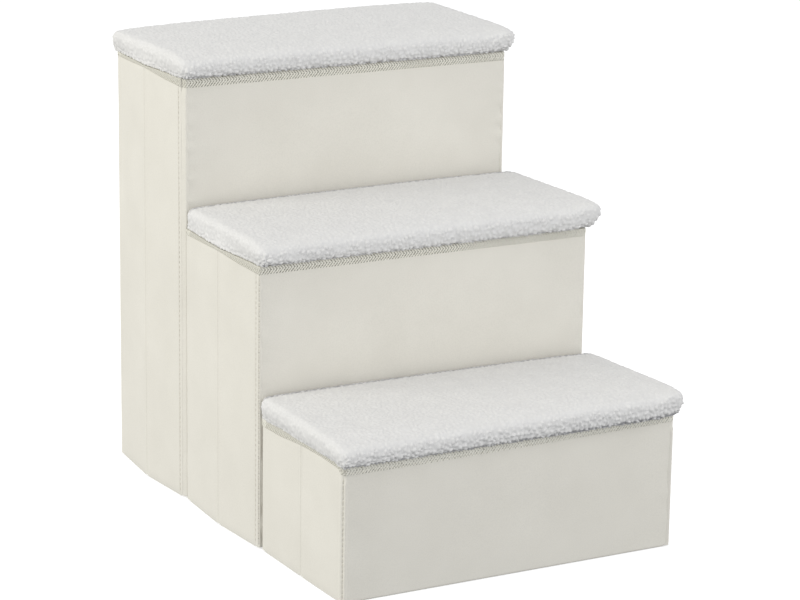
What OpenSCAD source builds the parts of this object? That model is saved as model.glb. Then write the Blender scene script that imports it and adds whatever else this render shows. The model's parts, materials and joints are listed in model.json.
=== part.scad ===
// Pet stairs: three fold-flat storage boxes in a row, each closed by a padded lift-off lid.
// The origin is the middle of the footprint on the floor, +Z is up and the low step faces -Y.
// Steps are counted from the front: 0 is the low one, 1 the middle one and 2 the tall one.

/* [Boxes] */
// Width of every box over its side panels
box_w = 400; // [320:5:560]
// Depth of every box, from its front face to its rear face
box_d = 184; // [160:1:240]
// Height of the low box's rim above the floor
low_rim_h = 146; // [120:1:180]
// Rise from one rim to the next
step_rise = 166; // [160:1:200]
// Space between neighbouring boxes, which the hook and loop strips fill
box_gap = 3; // [2:0.5:6]

/* [Panels] */
// Thickness of the stiff board inside each panel
board_t = 3.8; // [2.5:0.1:5]
// Thickness of the cover fabric
fabric_t = 0.7; // [0.5:0.1:1.2]
// Play of a board inside its fabric sleeve, on each side
board_play = 0.2; // [0.1:0.05:0.4]
// Radius of the bottom corners of each panel
foot_r = 6; // [3:0.5:12]
// Radius of the box's rounded rear corners
rear_corner_r = 4; // [2:0.5:5]
// Reach of the sewn web at a front corner, along each face
web_reach = 5.5; // [4:0.1:7]
// Thickness of that web, two layers of fabric
web_t = 1.4; // [1:0.1:1.8]
// Running gap between panels that fold past each other
fold_gap = 0.3; // [0.2:0.05:0.6]
// How far the low box's side creases stand out when it is open
low_crease_out = 1; // [0:0.5:8]
// How far the middle box's side creases stand out when it is open
mid_crease_out = 5.5; // [0:0.5:8]
// How far the tall box's side creases stand out when it is open
tall_crease_out = 6.5; // [0:0.5:8]

/* [Binding tape] */
// Height of the tape sewn round the rim
binding_h = 10; // [6:0.5:16]
// How far the tape stands proud of the cover
binding_proud = 0.4; // [0.2:0.1:0.8]

/* [Lids] */
// Height of a lid at the end of its rounded edge
lid_h = 25; // [22:0.5:32]
// Extra height of the crown in the middle of a lid
lid_crown = 3; // [1:0.5:6]
// Reach of a lid beyond the side panels
lid_side_over = 12; // [8:0.5:16]
// Reach of a lid beyond the front panel
lid_front_over = 11; // [8:0.5:16]
// Reach of the tall step's lid beyond its rear panel
tall_rear_over = 6; // [4:0.5:12]
// Gap between a lid's rear edge and the panel that rises behind it
riser_gap = 1; // [0.5:0.25:1.75]
// Corner radius of a lid, seen from above
lid_corner_r = 26; // [20:1:40]
// How far the top edge of a lid curves in
lid_top_round = 16; // [10:1:20]
// Gap between a lid and the rim that it rests on
lid_rest_gap = 0.3; // [0.1:0.05:0.5]
// Thickness of the stiff board in a lid
lid_board_t = 3; // [2:0.1:5]
// Thickness of the foam pad in a lid
lid_foam_t = 12; // [8:0.5:14]
// Thickness of the lining under a lid
lining_t = 0.8; // [0.5:0.1:1.2]
// Width of the pile cover's turned-in lower edge
turned_edge_w = 5; // [3:0.5:10]

/* [Hook and loop strips] */
// Width of a strip
strip_w = 25; // [15:1:40]
// Distance of a strip's middle from the middle of the box
strip_x = 130; // [80:5:145]

/* [Floor cloth] */
// Thickness of the cloth across the bottom of a box
cloth_t = 0.8; // [0.5:0.1:1.5]
// Gap between the cloth and the panels round it
cloth_gap = 0.6; // [0.3:0.1:1]

/* [Hidden] */

// Names of the steps, in order from the front
step_names = ["low", "mid", "tall"];
// The last step, which nothing rises behind
last_step = len(step_names) - 1;

// Fineness of the true circles
$fn = 48;
// Overrun of every cut past the face that it opens
cut_over = 1;

// Thickness of a finished panel: a board between two layers of fabric
panel_t = board_t + 2 * (fabric_t + board_play);
// Distance from a cover's outer face to the board inside it
board_inset = fabric_t + board_play;
// Distance along the side from the middle of a box to a corner that its fabric bends about
half_span = box_d / 2 - panel_t;
// Offset across the panel from that corner's line to the crease's line
fold_arm = panel_t + 2 * fold_gap + binding_proud;
crease_outs = [low_crease_out, mid_crease_out, tall_crease_out];
// Footprint from the lowest lid's front edge to the tall lid's rear edge
total_d = lid_front_over + 3 * box_d + 2 * box_gap + tall_rear_over;
// Front face of the low box
low_front_y = lid_front_over - total_d / 2;

// The corners of the floor cloth, which is sewn to the panels round it
cloth_corner_r = 4;
// Corner radii inside a lid
pad_corner_r = 10;
// Least corner radius of a loop on a lid's crown
crown_corner_r = 5;
// Segments of a lid's corner, seen from above
corner_steps = 6;
// Angles of the loops up a lid's rounded edge
edge_angles = [-90, -60, -30, 0, 25, 50, 70, 90];
// Shares of the way in from the edge to the middle where the crown has a loop
crown_shares = [0.22, 0.5, 0.8];
// Share of a box's rim height where its strips start, and their height as such a share
strip_low_share = 0.2;
strip_tall_share = 0.55;

cover_color = [0.88, 0.87, 0.82];
board_color = [0.62, 0.50, 0.36];
pile_color = [0.93, 0.93, 0.94];
foam_color = [0.95, 0.90, 0.70];
lining_color = [0.80, 0.79, 0.75];
strip_color = [0.92, 0.92, 0.90];

function rim_h(s) = low_rim_h + s * step_rise;
function front_y(s) = low_front_y + s * (box_d + box_gap);
function back_y(s) = front_y(s) + box_d;
function mid_y(s) = front_y(s) + box_d / 2;
function lid_z(s) = rim_h(s) + lid_rest_gap;
function lid_front_y(s) = front_y(s) - lid_front_over;
function lid_rear_y(s) = back_y(s) + (s == last_step ? tall_rear_over : box_gap - riser_gap);
// Angle by which an open box's side halves stand out, and a half's length from bend to bend
function open_angle(s) = asin(crease_outs[s] / half_span);
function link_len(s) = (half_span + fold_arm * sin(open_angle(s))) / cos(open_angle(s));
// Room at the ends of a half, so that its inner edges clear their neighbours at that angle
function corner_play(s) =
    max(web_reach - panel_t, 0) + fold_gap + (panel_t + fold_gap) * sin(open_angle(s));
function crease_play(s) = fold_gap + (panel_t + binding_proud + fold_gap) * sin(open_angle(s));
function half_len(s) = link_len(s) - corner_play(s) - crease_play(s);

// Outline of a standing panel with its bottom corners rounded, from its lower left corner
module panel_outline(w, h, r) {
    translate([0, r]) square([w, h - r]);
    translate([r, 0]) square([w - 2 * r, r]);
    translate([r, r]) circle(r = r);
    translate([w - r, r]) circle(r = r);
}

// A standing panel along X, w wide and t thick, from x = -w / 2 and y = 0
module panel_along_x(w, h, t, r) {
    translate([-w / 2, t, 0]) rotate([90, 0, 0]) linear_extrude(t) panel_outline(w, h, r);
}

// A standing panel along Y, w long and t thick, from x = 0 and y = 0
module panel_along_y(w, h, t, r) {
    rotate([90, 0, 90]) linear_extrude(t) panel_outline(w, h, r);
}

// Rectangle with rounded corners, w by d, centred on the origin
module round_rectangle(w, d, r) {
    square([w - 2 * r, d], center = true);
    square([w, d - 2 * r], center = true);
    for (x = [-1, 1], y = [-1, 1]) translate([x * (w / 2 - r), y * (d / 2 - r)]) circle(r = r);
}

// Plan of a front cover from its outer face at y = 0, with a sewn web across each corner
module front_plan(proud) {
    face_x = box_w / 2 - web_reach;
    slant = web_t * sqrt(2);
    translate([-face_x, -proud]) square([2 * face_x, panel_t + proud]);
    for (side = [-1, 1])
        polygon([
            [side * face_x, -proud],
            [side * (box_w / 2 + proud), web_reach],
            [side * (box_w / 2 - slant), web_reach],
            [side * face_x, slant]
        ]);
}

// Plan of a rear cover from its inner face at y = 0, with rounded outer corners
module back_plan(proud) {
    r = rear_corner_r + proud;
    w = box_w + 2 * proud;
    t = panel_t + proud;
    intersection() {
        translate([-w / 2, 0]) square([w, t]);
        union() {
            translate([-w / 2, 0]) square([w, t - r]);
            translate([r - w / 2, 0]) square([w - 2 * r, t]);
            for (side = [-1, 1]) translate([side * (w / 2 - r), t - r]) circle(r = r);
        }
    }
}

// Board for a panel along X whose cover spans w
module board_along_x(w, h) {
    translate([0, board_inset, board_inset])
        panel_along_x(w - 2 * board_inset, h - 2 * board_inset, board_t, foot_r - board_inset);
}

// Board for a panel along Y whose cover spans w
module board_along_y(w, h) {
    translate([board_inset, board_inset, board_inset])
        panel_along_y(w - 2 * board_inset, h - 2 * board_inset, board_t, foot_r - board_inset);
}

// Space of a sleeve along X whose cover spans w, open at the bottom
module sleeve_along_x(w, h) {
    translate([fabric_t - w / 2, fabric_t, -cut_over])
        cube([w - 2 * fabric_t, panel_t - 2 * fabric_t, h - fabric_t + cut_over]);
}

// Space of a sleeve along Y whose cover spans w, open at the bottom
module sleeve_along_y(w, h) {
    translate([fabric_t, fabric_t, -cut_over])
        cube([panel_t - 2 * fabric_t, w - 2 * fabric_t, h - fabric_t + cut_over]);
}

// Front panel's fabric sleeve with its corner webs and its band of binding tape
module front_cover(s) {
    h = rim_h(s);
    w = box_w - 2 * web_reach;
    color(cover_color) translate([0, front_y(s), 0]) difference() {
        union() {
            intersection() {
                linear_extrude(h) front_plan(0);
                panel_along_x(box_w, h, box_d, foot_r);
            }
            translate([0, 0, h - binding_h]) linear_extrude(binding_h) front_plan(binding_proud);
        }
        sleeve_along_x(w, h);
    }
}

module front_board(s) {
    color(board_color) translate([0, front_y(s), 0]) board_along_x(box_w - 2 * web_reach, rim_h(s));
}

// Rear panel's fabric sleeve with its rounded corners and its band of binding tape
module back_cover(s) {
    h = rim_h(s);
    color(cover_color) translate([0, back_y(s) - panel_t, 0]) difference() {
        union() {
            intersection() {
                linear_extrude(h) back_plan(0);
                panel_along_x(box_w, h, panel_t, foot_r);
            }
            translate([0, 0, h - binding_h]) linear_extrude(binding_h) back_plan(binding_proud);
        }
        sleeve_along_x(box_w - 2 * rear_corner_r, h);
    }
}

module back_board(s) {
    color(board_color) translate([0, back_y(s) - panel_t, 0])
        board_along_x(box_w - 2 * rear_corner_r, rim_h(s));
}

// Puts a side half, drawn from its front end along +Y, at its corner and its open angle
module place_half(s, side, rear) {
    mirror([side < 0 ? 1 : 0, 0, 0])
        translate([box_w / 2 - panel_t - fold_gap, rear ? back_y(s) - panel_t : front_y(s) + panel_t, 0])
            rotate([0, 0, rear ? open_angle(s) : -open_angle(s)])
                translate([fold_gap, rear ? -corner_play(s) - half_len(s) : corner_play(s), 0]) children();
}

// Half of a side panel: a fabric sleeve from the crease to its corner, with its binding tape
module half_cover(s, side, rear) {
    h = rim_h(s);
    w = half_len(s);
    color(cover_color) place_half(s, side, rear) difference() {
        union() {
            panel_along_y(w, h, panel_t, foot_r);
            translate([0, 0, h - binding_h]) cube([panel_t + binding_proud, w, binding_h]);
        }
        sleeve_along_y(w, h);
    }
}

module half_board(s, side, rear) {
    color(board_color) place_half(s, side, rear) board_along_y(half_len(s), rim_h(s));
}

// Cloth across the bottom, inside the ring of panels
module floor_cloth(s) {
    w = box_w - 2 * (panel_t + cloth_gap);
    d = box_d - 2 * (panel_t + cloth_gap);
    color(lining_color) translate([0, mid_y(s), fold_gap])
        linear_extrude(cloth_t) round_rectangle(w, d, cloth_corner_r);
}

// Loop of points round a lid, drawn in by inset from its widest outline
function lid_loop(s, inset, z) =
    let(
        x = box_w / 2 + lid_side_over - inset,
        y0 = lid_front_y(s) + inset,
        y1 = lid_rear_y(s) - inset,
        r = max(lid_corner_r - inset, crown_corner_r)
    )
    [for (c = [0:3], k = [0:corner_steps])
        let(
            a = 90 * (c + k / corner_steps),
            cx = (c == 0 || c == 3) ? x - r : r - x,
            cy = c < 2 ? y1 - r : y0 + r
        )
        [cx + r * cos(a), cy + r * sin(a), z]];

// The edge bulges from the rim's outer face and curves in again at the top
function edge_inset(a) = (a < 0 ? lid_side_over : lid_top_round) * (1 - cos(a));
function lid_half_d(s) = (lid_rear_y(s) - lid_front_y(s)) / 2;

function lid_loops(s) = concat(
    [for (a = edge_angles) lid_loop(s, edge_inset(a), lid_z(s) + lid_h * (1 + sin(a)) / 2)],
    [for (q = crown_shares)
        lid_loop(s, lid_top_round + q * (lid_half_d(s) - lid_top_round),
            lid_z(s) + lid_h + lid_crown * (1 - pow(1 - q, 2)))]
);

// Closed skin of triangles through loops of n points each, counted upwards
module skin(loops) {
    n = len(loops[0]);
    top = (len(loops) - 1) * n;
    points = [for (loop = loops) each loop];
    walls = [for (j = [0:len(loops) - 2], i = [0:n - 1])
        let(a = j * n + i, b = j * n + (i + 1) % n)
        each [[a, a + n, b + n], [a, b + n, b]]];
    floor_fan = [for (i = [1:n - 2]) [0, i, i + 1]];
    crown_fan = [for (i = [1:n - 2]) [top, top + i + 1, top + i]];
    polyhedron(points, concat(walls, floor_fan, crown_fan));
}

// The stack inside a lid stands in from the box's outer faces
function pad_w() = box_w - 2 * turned_edge_w;
function pad_front_y(s) = front_y(s) + turned_edge_w;
function pad_rear_y(s) = min(back_y(s), lid_rear_y(s) - lid_side_over) - turned_edge_w;
function stack_h() = lining_t + lid_board_t + lid_foam_t;

// A rounded slab of the lid's stack, from z and t high, drawn in by play
module pad_slab(s, z, t, play) {
    d = pad_rear_y(s) - pad_front_y(s);
    translate([0, pad_front_y(s) + d / 2, lid_z(s) + z])
        linear_extrude(t) round_rectangle(pad_w() - 2 * play, d - 2 * play, pad_corner_r);
}

// Pile cover of a lid, crowned and rounded, open below for the padded stack
module lid_cover(s) {
    color(pile_color) difference() {
        skin(lid_loops(s));
        pad_slab(s, -cut_over, stack_h() + board_play + cut_over, 0);
    }
}

module lid_foam(s) {
    color(foam_color) pad_slab(s, lining_t + lid_board_t, lid_foam_t, board_play);
}

module lid_board(s) {
    color(board_color) pad_slab(s, lining_t, lid_board_t, board_play);
}

module lid_lining(s) {
    color(lining_color) pad_slab(s, 0, lining_t, board_play);
}

// Two upright strips behind step s, standing t off the face at y
module strips(s, y, t) {
    for (side = [-1, 1])
        translate([side * strip_x - strip_w / 2, y, strip_low_share * rim_h(s)])
            cube([strip_w, t, strip_tall_share * rim_h(s)]);
}

// Hook side, sewn to the front of the box behind step s
module hook_strips(s) {
    color(strip_color) strips(s, front_y(s + 1) - box_gap / 2, box_gap / 2);
}

// Loop side, sewn to the back of step s
module loop_strips(s) {
    color(strip_color) strips(s, back_y(s), box_gap / 2);
}

for (s = [0:last_step]) {
    step = step_names[s];
    back_cover(s);
    back_board(s);
    front_cover(s);
    front_board(s);
    half_cover(s, -1, true);
    half_board(s, -1, true);
    half_cover(s, -1, false);
    half_board(s, -1, false);
    half_cover(s, 1, true);
    half_board(s, 1, true);
    half_cover(s, 1, false);
    half_board(s, 1, false);
    floor_cloth(s);
    lid_cover(s);
    lid_foam(s);
    lid_board(s);
    lid_lining(s);
}
for (s = [0:last_step - 1]) {
    step = step_names[s];
    hook_strips(s);
    loop_strips(s);
}
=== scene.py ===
"""Fold-flat pet stairs in a pale studio: three cream fabric boxes with taped rims and curly pile lids."""

from __future__ import annotations

import json
import logging
import math
from collections.abc import Callable
from dataclasses import dataclass
from enum import Enum

import bmesh
import bpy
import numpy as np
from mathutils import Matrix, Vector, noise

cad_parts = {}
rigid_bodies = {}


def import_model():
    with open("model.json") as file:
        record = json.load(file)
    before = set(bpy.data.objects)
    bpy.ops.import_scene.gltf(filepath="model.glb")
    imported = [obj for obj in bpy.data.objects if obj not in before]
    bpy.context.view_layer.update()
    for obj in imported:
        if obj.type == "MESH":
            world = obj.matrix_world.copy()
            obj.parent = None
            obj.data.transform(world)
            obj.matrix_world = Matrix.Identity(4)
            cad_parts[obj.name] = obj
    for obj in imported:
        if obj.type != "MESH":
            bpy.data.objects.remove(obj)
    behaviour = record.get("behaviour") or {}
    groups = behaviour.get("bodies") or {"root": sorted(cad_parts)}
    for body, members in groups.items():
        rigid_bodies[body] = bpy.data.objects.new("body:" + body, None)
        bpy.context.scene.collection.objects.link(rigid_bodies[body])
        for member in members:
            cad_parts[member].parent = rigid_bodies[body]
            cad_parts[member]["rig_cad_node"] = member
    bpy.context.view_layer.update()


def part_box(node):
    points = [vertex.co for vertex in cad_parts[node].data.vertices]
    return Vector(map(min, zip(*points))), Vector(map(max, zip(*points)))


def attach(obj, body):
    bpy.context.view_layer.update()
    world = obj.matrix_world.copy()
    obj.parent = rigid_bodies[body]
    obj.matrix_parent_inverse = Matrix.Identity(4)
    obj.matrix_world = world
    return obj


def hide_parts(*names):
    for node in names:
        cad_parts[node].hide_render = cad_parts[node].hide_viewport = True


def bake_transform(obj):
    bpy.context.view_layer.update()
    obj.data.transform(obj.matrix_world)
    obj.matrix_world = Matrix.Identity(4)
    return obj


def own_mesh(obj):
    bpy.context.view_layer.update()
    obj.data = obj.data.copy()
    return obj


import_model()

log = logging.getLogger("pet_stairs")

MM = 0.001
TINY = 1e-5
UP = Vector((0.0, 0.0, 1.0))

Hanger = Callable[[bpy.types.Object], None]
Seam = list[tuple[Vector, Vector, Vector]]
Color = tuple[float, float, float]
Corners = tuple[float, float, float, float]


class Step(Enum):
    """The three boxes, counted from the front."""

    LOW = 0
    MID = 1
    TALL = 2

    @property
    def label(self) -> str:
        """Name of the step, as its pieces carry it."""
        return self.name.lower()


class Side(Enum):
    """Left and right, seen from the front."""

    LEFT = -1
    RIGHT = 1

    @property
    def label(self) -> str:
        """Name of the side, as its pieces carry it."""
        return self.name.lower()


class Half(Enum):
    """The two halves of a side panel, before and behind its crease."""

    FRONT = "front"
    REAR = "rear"


class Slot(Enum):
    """Material slots of the record."""

    COVER = "cover_fabric"
    TAPE = "binding_tape"
    THREAD = "stitching"
    PILE = "pile"
    LINING = "lining"
    FOAM = "foam"
    BOARD = "board"
    GRIP = "hook_and_loop"


@dataclass(frozen=True)
class StairSizes:
    """Driving sizes of the stairs, in metres, as the frame has them."""

    box_w: float = 400 * MM
    box_d: float = 184 * MM
    low_rim: float = 146 * MM
    rise: float = 166 * MM
    panel_t: float = 5.6 * MM
    fold_gap: float = 0.3 * MM
    tape_proud: float = 0.4 * MM
    foot_r: float = 6 * MM
    crease_outs: tuple[float, float, float] = (1.0 * MM, 5.5 * MM, 6.5 * MM)
    rear_skins: tuple[float, float, float] = (1.2 * MM, 2.4 * MM, 0.5 * MM)
    crease_skins: tuple[float, float, float] = (0.0, 1.8 * MM, 2.2 * MM)
    front_skins: tuple[float, float, float] = (0.0, 2.6 * MM, 3.2 * MM)
    right_share: float = 0.3
    front_shifts: tuple[float, float, float] = (0.0, -1.5 * MM, 0.3 * MM)

    @property
    def half_w(self) -> float:
        """Half of a box's width."""
        return self.box_w / 2

    def rim(self, step: Step) -> float:
        """Height of a box's rim."""
        return self.low_rim + step.value * self.rise

    def back_y(self, step: Step) -> float:
        """Rear face of a box, from the back board that the frame holds.

        Args:
            step: Which box.

        Returns:
            Its place along Y.
        """
        low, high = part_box(f"{step.label}_back_board")
        inset = (self.panel_t - (high.y - low.y)) / 2
        return high.y + inset

    def front_y(self, step: Step) -> float:
        """Front face of a box."""
        return self.back_y(step) - self.box_d


SIZES = StairSizes()


def deselect_all() -> None:
    """Leaves nothing selected, so that an operator acts on the new piece alone."""
    for obj in bpy.context.selected_objects:
        obj.select_set(False)


def smooth_step(value: np.ndarray | float, low: float, high: float) -> np.ndarray | float:
    """Rises from 0 at low to 1 at high with flat ends.

    Args:
        value: Where to read the rise.
        low: Start of the rise.
        high: End of the rise.

    Returns:
        The share of the rise, from 0 to 1.
    """
    t = np.clip((value - low) / (high - low), 0.0, 1.0)
    return t * t * (3 - 2 * t)


class Workpiece:
    """A mesh on the bench, shaped with operators as by hand."""

    def __init__(self, obj: bpy.types.Object) -> None:
        """Takes an object that stands at the origin.

        Args:
            obj: The mesh object to shape.
        """
        self.obj = obj

    @classmethod
    def block(cls, name: str, low: Vector, high: Vector) -> Workpiece:
        """Starts from a cube primitive of a given size at a given place.

        Args:
            name: Name of the piece.
            low: Lowest corner.
            high: Highest corner.

        Returns:
            The new workpiece.
        """
        deselect_all()
        bpy.ops.mesh.primitive_cube_add(size=1.0, location=(low + high) / 2, scale=high - low)
        return cls._settled(name)

    @classmethod
    def cloth_grid(cls, name: str, cells_u: int, cells_w: int) -> Workpiece:
        """Starts from a grid primitive of one unit each way, to be laid on a surface.

        Args:
            name: Name of the piece.
            cells_u: Cells along the strip.
            cells_w: Cells across the strip.

        Returns:
            The new workpiece.
        """
        deselect_all()
        bpy.ops.mesh.primitive_grid_add(x_subdivisions=cells_u, y_subdivisions=cells_w, size=1.0)
        return cls._settled(name)

    @classmethod
    def _settled(cls, name: str) -> Workpiece:
        """Names the new primitive and puts its place into its mesh.

        Args:
            name: Name of the piece.

        Returns:
            The new workpiece.
        """
        obj = bpy.context.object
        obj.name = name
        obj.data.name = name
        bpy.ops.object.transform_apply(location=True, rotation=True, scale=True)
        return cls(obj)

    def pick_edges(self, test: Callable[[Vector, Vector], bool]) -> None:
        """Selects the edges whose two ends pass a test, in edit mode.

        Args:
            test: Says whether an edge with these two ends is wanted.
        """
        self._enter_edit("EDGE")
        mesh = bmesh.from_edit_mesh(self.obj.data)
        for edge in mesh.edges:
            if test(edge.verts[0].co, edge.verts[1].co):
                edge.select_set(True)
        bmesh.update_edit_mesh(self.obj.data)

    def pick_faces(self, test: Callable[[Vector, Vector], bool]) -> None:
        """Selects the faces whose centre and normal pass a test, in edit mode.

        Args:
            test: Says whether a face with this centre and normal is wanted.
        """
        self._enter_edit("FACE")
        mesh = bmesh.from_edit_mesh(self.obj.data)
        for face in mesh.faces:
            if test(face.calc_center_median(), face.normal):
                face.select_set(True)
        bmesh.update_edit_mesh(self.obj.data)

    def _take_up(self) -> None:
        """Selects this piece alone, so that an operator acts on it."""
        deselect_all()
        self.obj.select_set(True)
        bpy.context.view_layer.objects.active = self.obj

    def _enter_edit(self, mode: str) -> None:
        """Goes into edit mode with nothing selected.

        Args:
            mode: What can be selected: vertices, edges or faces.
        """
        self._take_up()
        if self.obj.mode != "EDIT":
            bpy.ops.object.mode_set(mode="EDIT")
        bpy.ops.mesh.select_mode(type=mode)
        bpy.ops.mesh.select_all(action="DESELECT")

    def leave_edit(self) -> None:
        """Goes back to object mode."""
        if self.obj.mode == "EDIT":
            bpy.ops.object.mode_set(mode="OBJECT")

    def bevel(self, width: float, segments: int) -> None:
        """Rounds the selected edges.

        Args:
            width: Width of the bevel.
            segments: Segments across it.
        """
        bpy.ops.mesh.bevel(offset=width, segments=segments, affect="EDGES", clamp_overlap=True)

    def slice_at(self, places: list[float], axis: int) -> None:
        """Cuts the whole mesh by planes across one axis.

        Args:
            places: Where the planes stand along the axis.
            axis: 0, 1 or 2 for X, Y or Z.
        """
        normal = [0.0, 0.0, 0.0]
        normal[axis] = 1.0
        self._enter_edit("VERT")
        for place in places:
            point = [0.0, 0.0, 0.0]
            point[axis] = place
            bpy.ops.mesh.select_all(action="SELECT")
            bpy.ops.mesh.bisect(plane_co=point, plane_no=normal)
        self.leave_edit()

    def apply(self, kind: str, **settings: object) -> None:
        """Adds a modifier with these settings and applies it.

        Args:
            kind: Type of the modifier.
            settings: Its properties by name.
        """
        self.leave_edit()
        self._take_up()
        modifier = self.obj.modifiers.new(kind.title(), kind)
        for name, value in settings.items():
            setattr(modifier, name, value)
        bpy.ops.object.modifier_apply(modifier=modifier.name)

    def points(self) -> np.ndarray:
        """Places of the vertices, one row each."""
        co = np.empty(len(self.obj.data.vertices) * 3)
        self.obj.data.vertices.foreach_get("co", co)
        return co.reshape(-1, 3)

    def move_points(self, co: np.ndarray) -> None:
        """Puts the vertices at new places, one row each."""
        self.obj.data.vertices.foreach_set("co", co.reshape(-1))
        self.obj.data.update()

    def normals(self) -> np.ndarray:
        """Normals of the vertices, one row each."""
        found = np.empty(len(self.obj.data.vertices) * 3)
        self.obj.data.vertices.foreach_get("normal", found)
        return found.reshape(-1, 3)

    def mark(self, name: str, values: np.ndarray) -> None:
        """Stores one number a vertex, for the finishes to read.

        Args:
            name: Name of the attribute.
            values: One value a vertex.
        """
        attribute = self.obj.data.attributes.new(name, "FLOAT", "POINT")
        attribute.data.foreach_set("value", values.astype(np.float32))

    def place(self, matrix: Matrix) -> None:
        """Turns and moves the mesh itself, and leaves the object at the origin."""
        self.obj.data.transform(matrix)
        self.obj.data.update()

    def turn_outwards(self) -> None:
        """Makes the faces of a closed piece look outwards."""
        self._enter_edit("FACE")
        bpy.ops.mesh.select_all(action="SELECT")
        bpy.ops.mesh.normals_make_consistent(inside=False)
        self.leave_edit()

    def smooth(self, degrees: float = 40.0) -> None:
        """Shades the piece smooth.

        Args:
            degrees: Edges sharper than this angle stay hard.
        """
        self.leave_edit()
        self._take_up()
        bpy.ops.object.shade_smooth_by_angle(angle=math.radians(degrees))

    def dress(self, slot: Slot, finishes: Finishes) -> None:
        """Gives the piece its finish and names its slot.

        Args:
            slot: The slot.
            finishes: The materials.
        """
        self.obj.data.materials.clear()
        self.obj.data.materials.append(finishes.of(slot))


def wander(points: np.ndarray, size: float, seed: float) -> np.ndarray:
    """Smooth random values from about -1 to 1, the same on each run.

    Args:
        points: Places, one row each.
        size: Size of a patch.
        seed: Shift that tells one pattern from another.

    Returns:
        One value a place.
    """
    shift = Vector((seed, seed * 0.37, seed * 1.71))
    return np.array([noise.noise(Vector(p) / size + shift) for p in points])


@dataclass
class Track:
    """A line in plan that a strip of cloth follows, with its outward direction all along."""

    line: list[tuple[float, float]]
    outward: list[tuple[float, float]]

    def __post_init__(self) -> None:
        """Measures the line once."""
        self._xy = np.array(self.line)
        self._out = np.array(self.outward)
        steps = np.linalg.norm(np.diff(self._xy, axis=0), axis=1)
        self._run = np.concatenate([[0.0], np.cumsum(steps)])

    @classmethod
    def round_corner(cls, start: Vector, corner: Vector, end: Vector, radius: float,
                     steps: int = 6) -> Track:
        """Two straight legs that meet in an arc, with the outside on their right hand.

        Args:
            start: Start of the first leg in plan.
            corner: Where the legs would meet.
            end: End of the second leg.
            radius: Radius of the arc.
            steps: Steps of the arc.

        Returns:
            The line.
        """
        legs = [(corner - start).normalized(), (end - corner).normalized()]
        turns = [math.atan2(leg.y, leg.x) for leg in legs]
        turn = (turns[1] - turns[0] + math.pi) % (2 * math.pi) - math.pi
        back = radius * math.tan(turn / 2)
        centre = corner - legs[0] * back + Vector((-legs[0].y, legs[0].x)) * radius
        line, outward = [tuple(start)], [(legs[0].y, -legs[0].x)]
        for k in range(steps + 1):
            angle = turns[0] + turn * k / steps
            out = (math.sin(angle), -math.cos(angle))
            line.append((centre.x + radius * out[0], centre.y + radius * out[1]))
            outward.append(out)
        return cls(line + [tuple(end)], outward + [(legs[1].y, -legs[1].x)])

    @property
    def length(self) -> float:
        """Length of the line."""
        return float(self._run[-1])

    def at(self, run: np.ndarray) -> tuple[np.ndarray, np.ndarray]:
        """Places and outward directions along the line.

        Args:
            run: Distances from its start.

        Returns:
            Plan places and unit outward directions, one row each.
        """
        xy = np.stack([np.interp(run, self._run, self._xy[:, k]) for k in range(2)], axis=1)
        out = np.stack([np.interp(run, self._run, self._out[:, k]) for k in range(2)], axis=1)
        return xy, out / np.linalg.norm(out, axis=1, keepdims=True)


@dataclass(frozen=True)
class WallPlace:
    """Where a wall panel stands: its outer face runs along a direction in plan from a start."""

    start: Vector
    along: Vector
    length: float
    skins: tuple[float, float] = (0.0, 0.0)

    @property
    def outward(self) -> Vector:
        """Direction that the outer face looks to."""
        return UP.cross(self.along) * -1.0

    @property
    def matrix(self) -> Matrix:
        """Takes the panel from the bench, where it lies along X and faces -Y, to its place."""
        inward = UP.cross(self.along)
        turn = Matrix((self.along, inward, UP)).transposed()
        return Matrix.Translation(self.start) @ turn.to_4x4()

    def skin(self, place: float) -> float:
        """How far the padding carries the outer face outwards at a distance from the start."""
        return self.skins[0] + (self.skins[1] - self.skins[0]) * place / self.length

    def face(self, place: float) -> Vector:
        """The outer face in plan at a distance from the start."""
        return (self.start + self.along * place + self.outward * self.skin(place)).to_2d()

    def track(self, start: float, end: float) -> Track:
        """The outer face's line in plan, between two distances from its start."""
        ends = [self.face(place) for place in (start, end)]
        return Track([tuple(p) for p in ends], [(self.outward.x, self.outward.y)] * 2)


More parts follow.
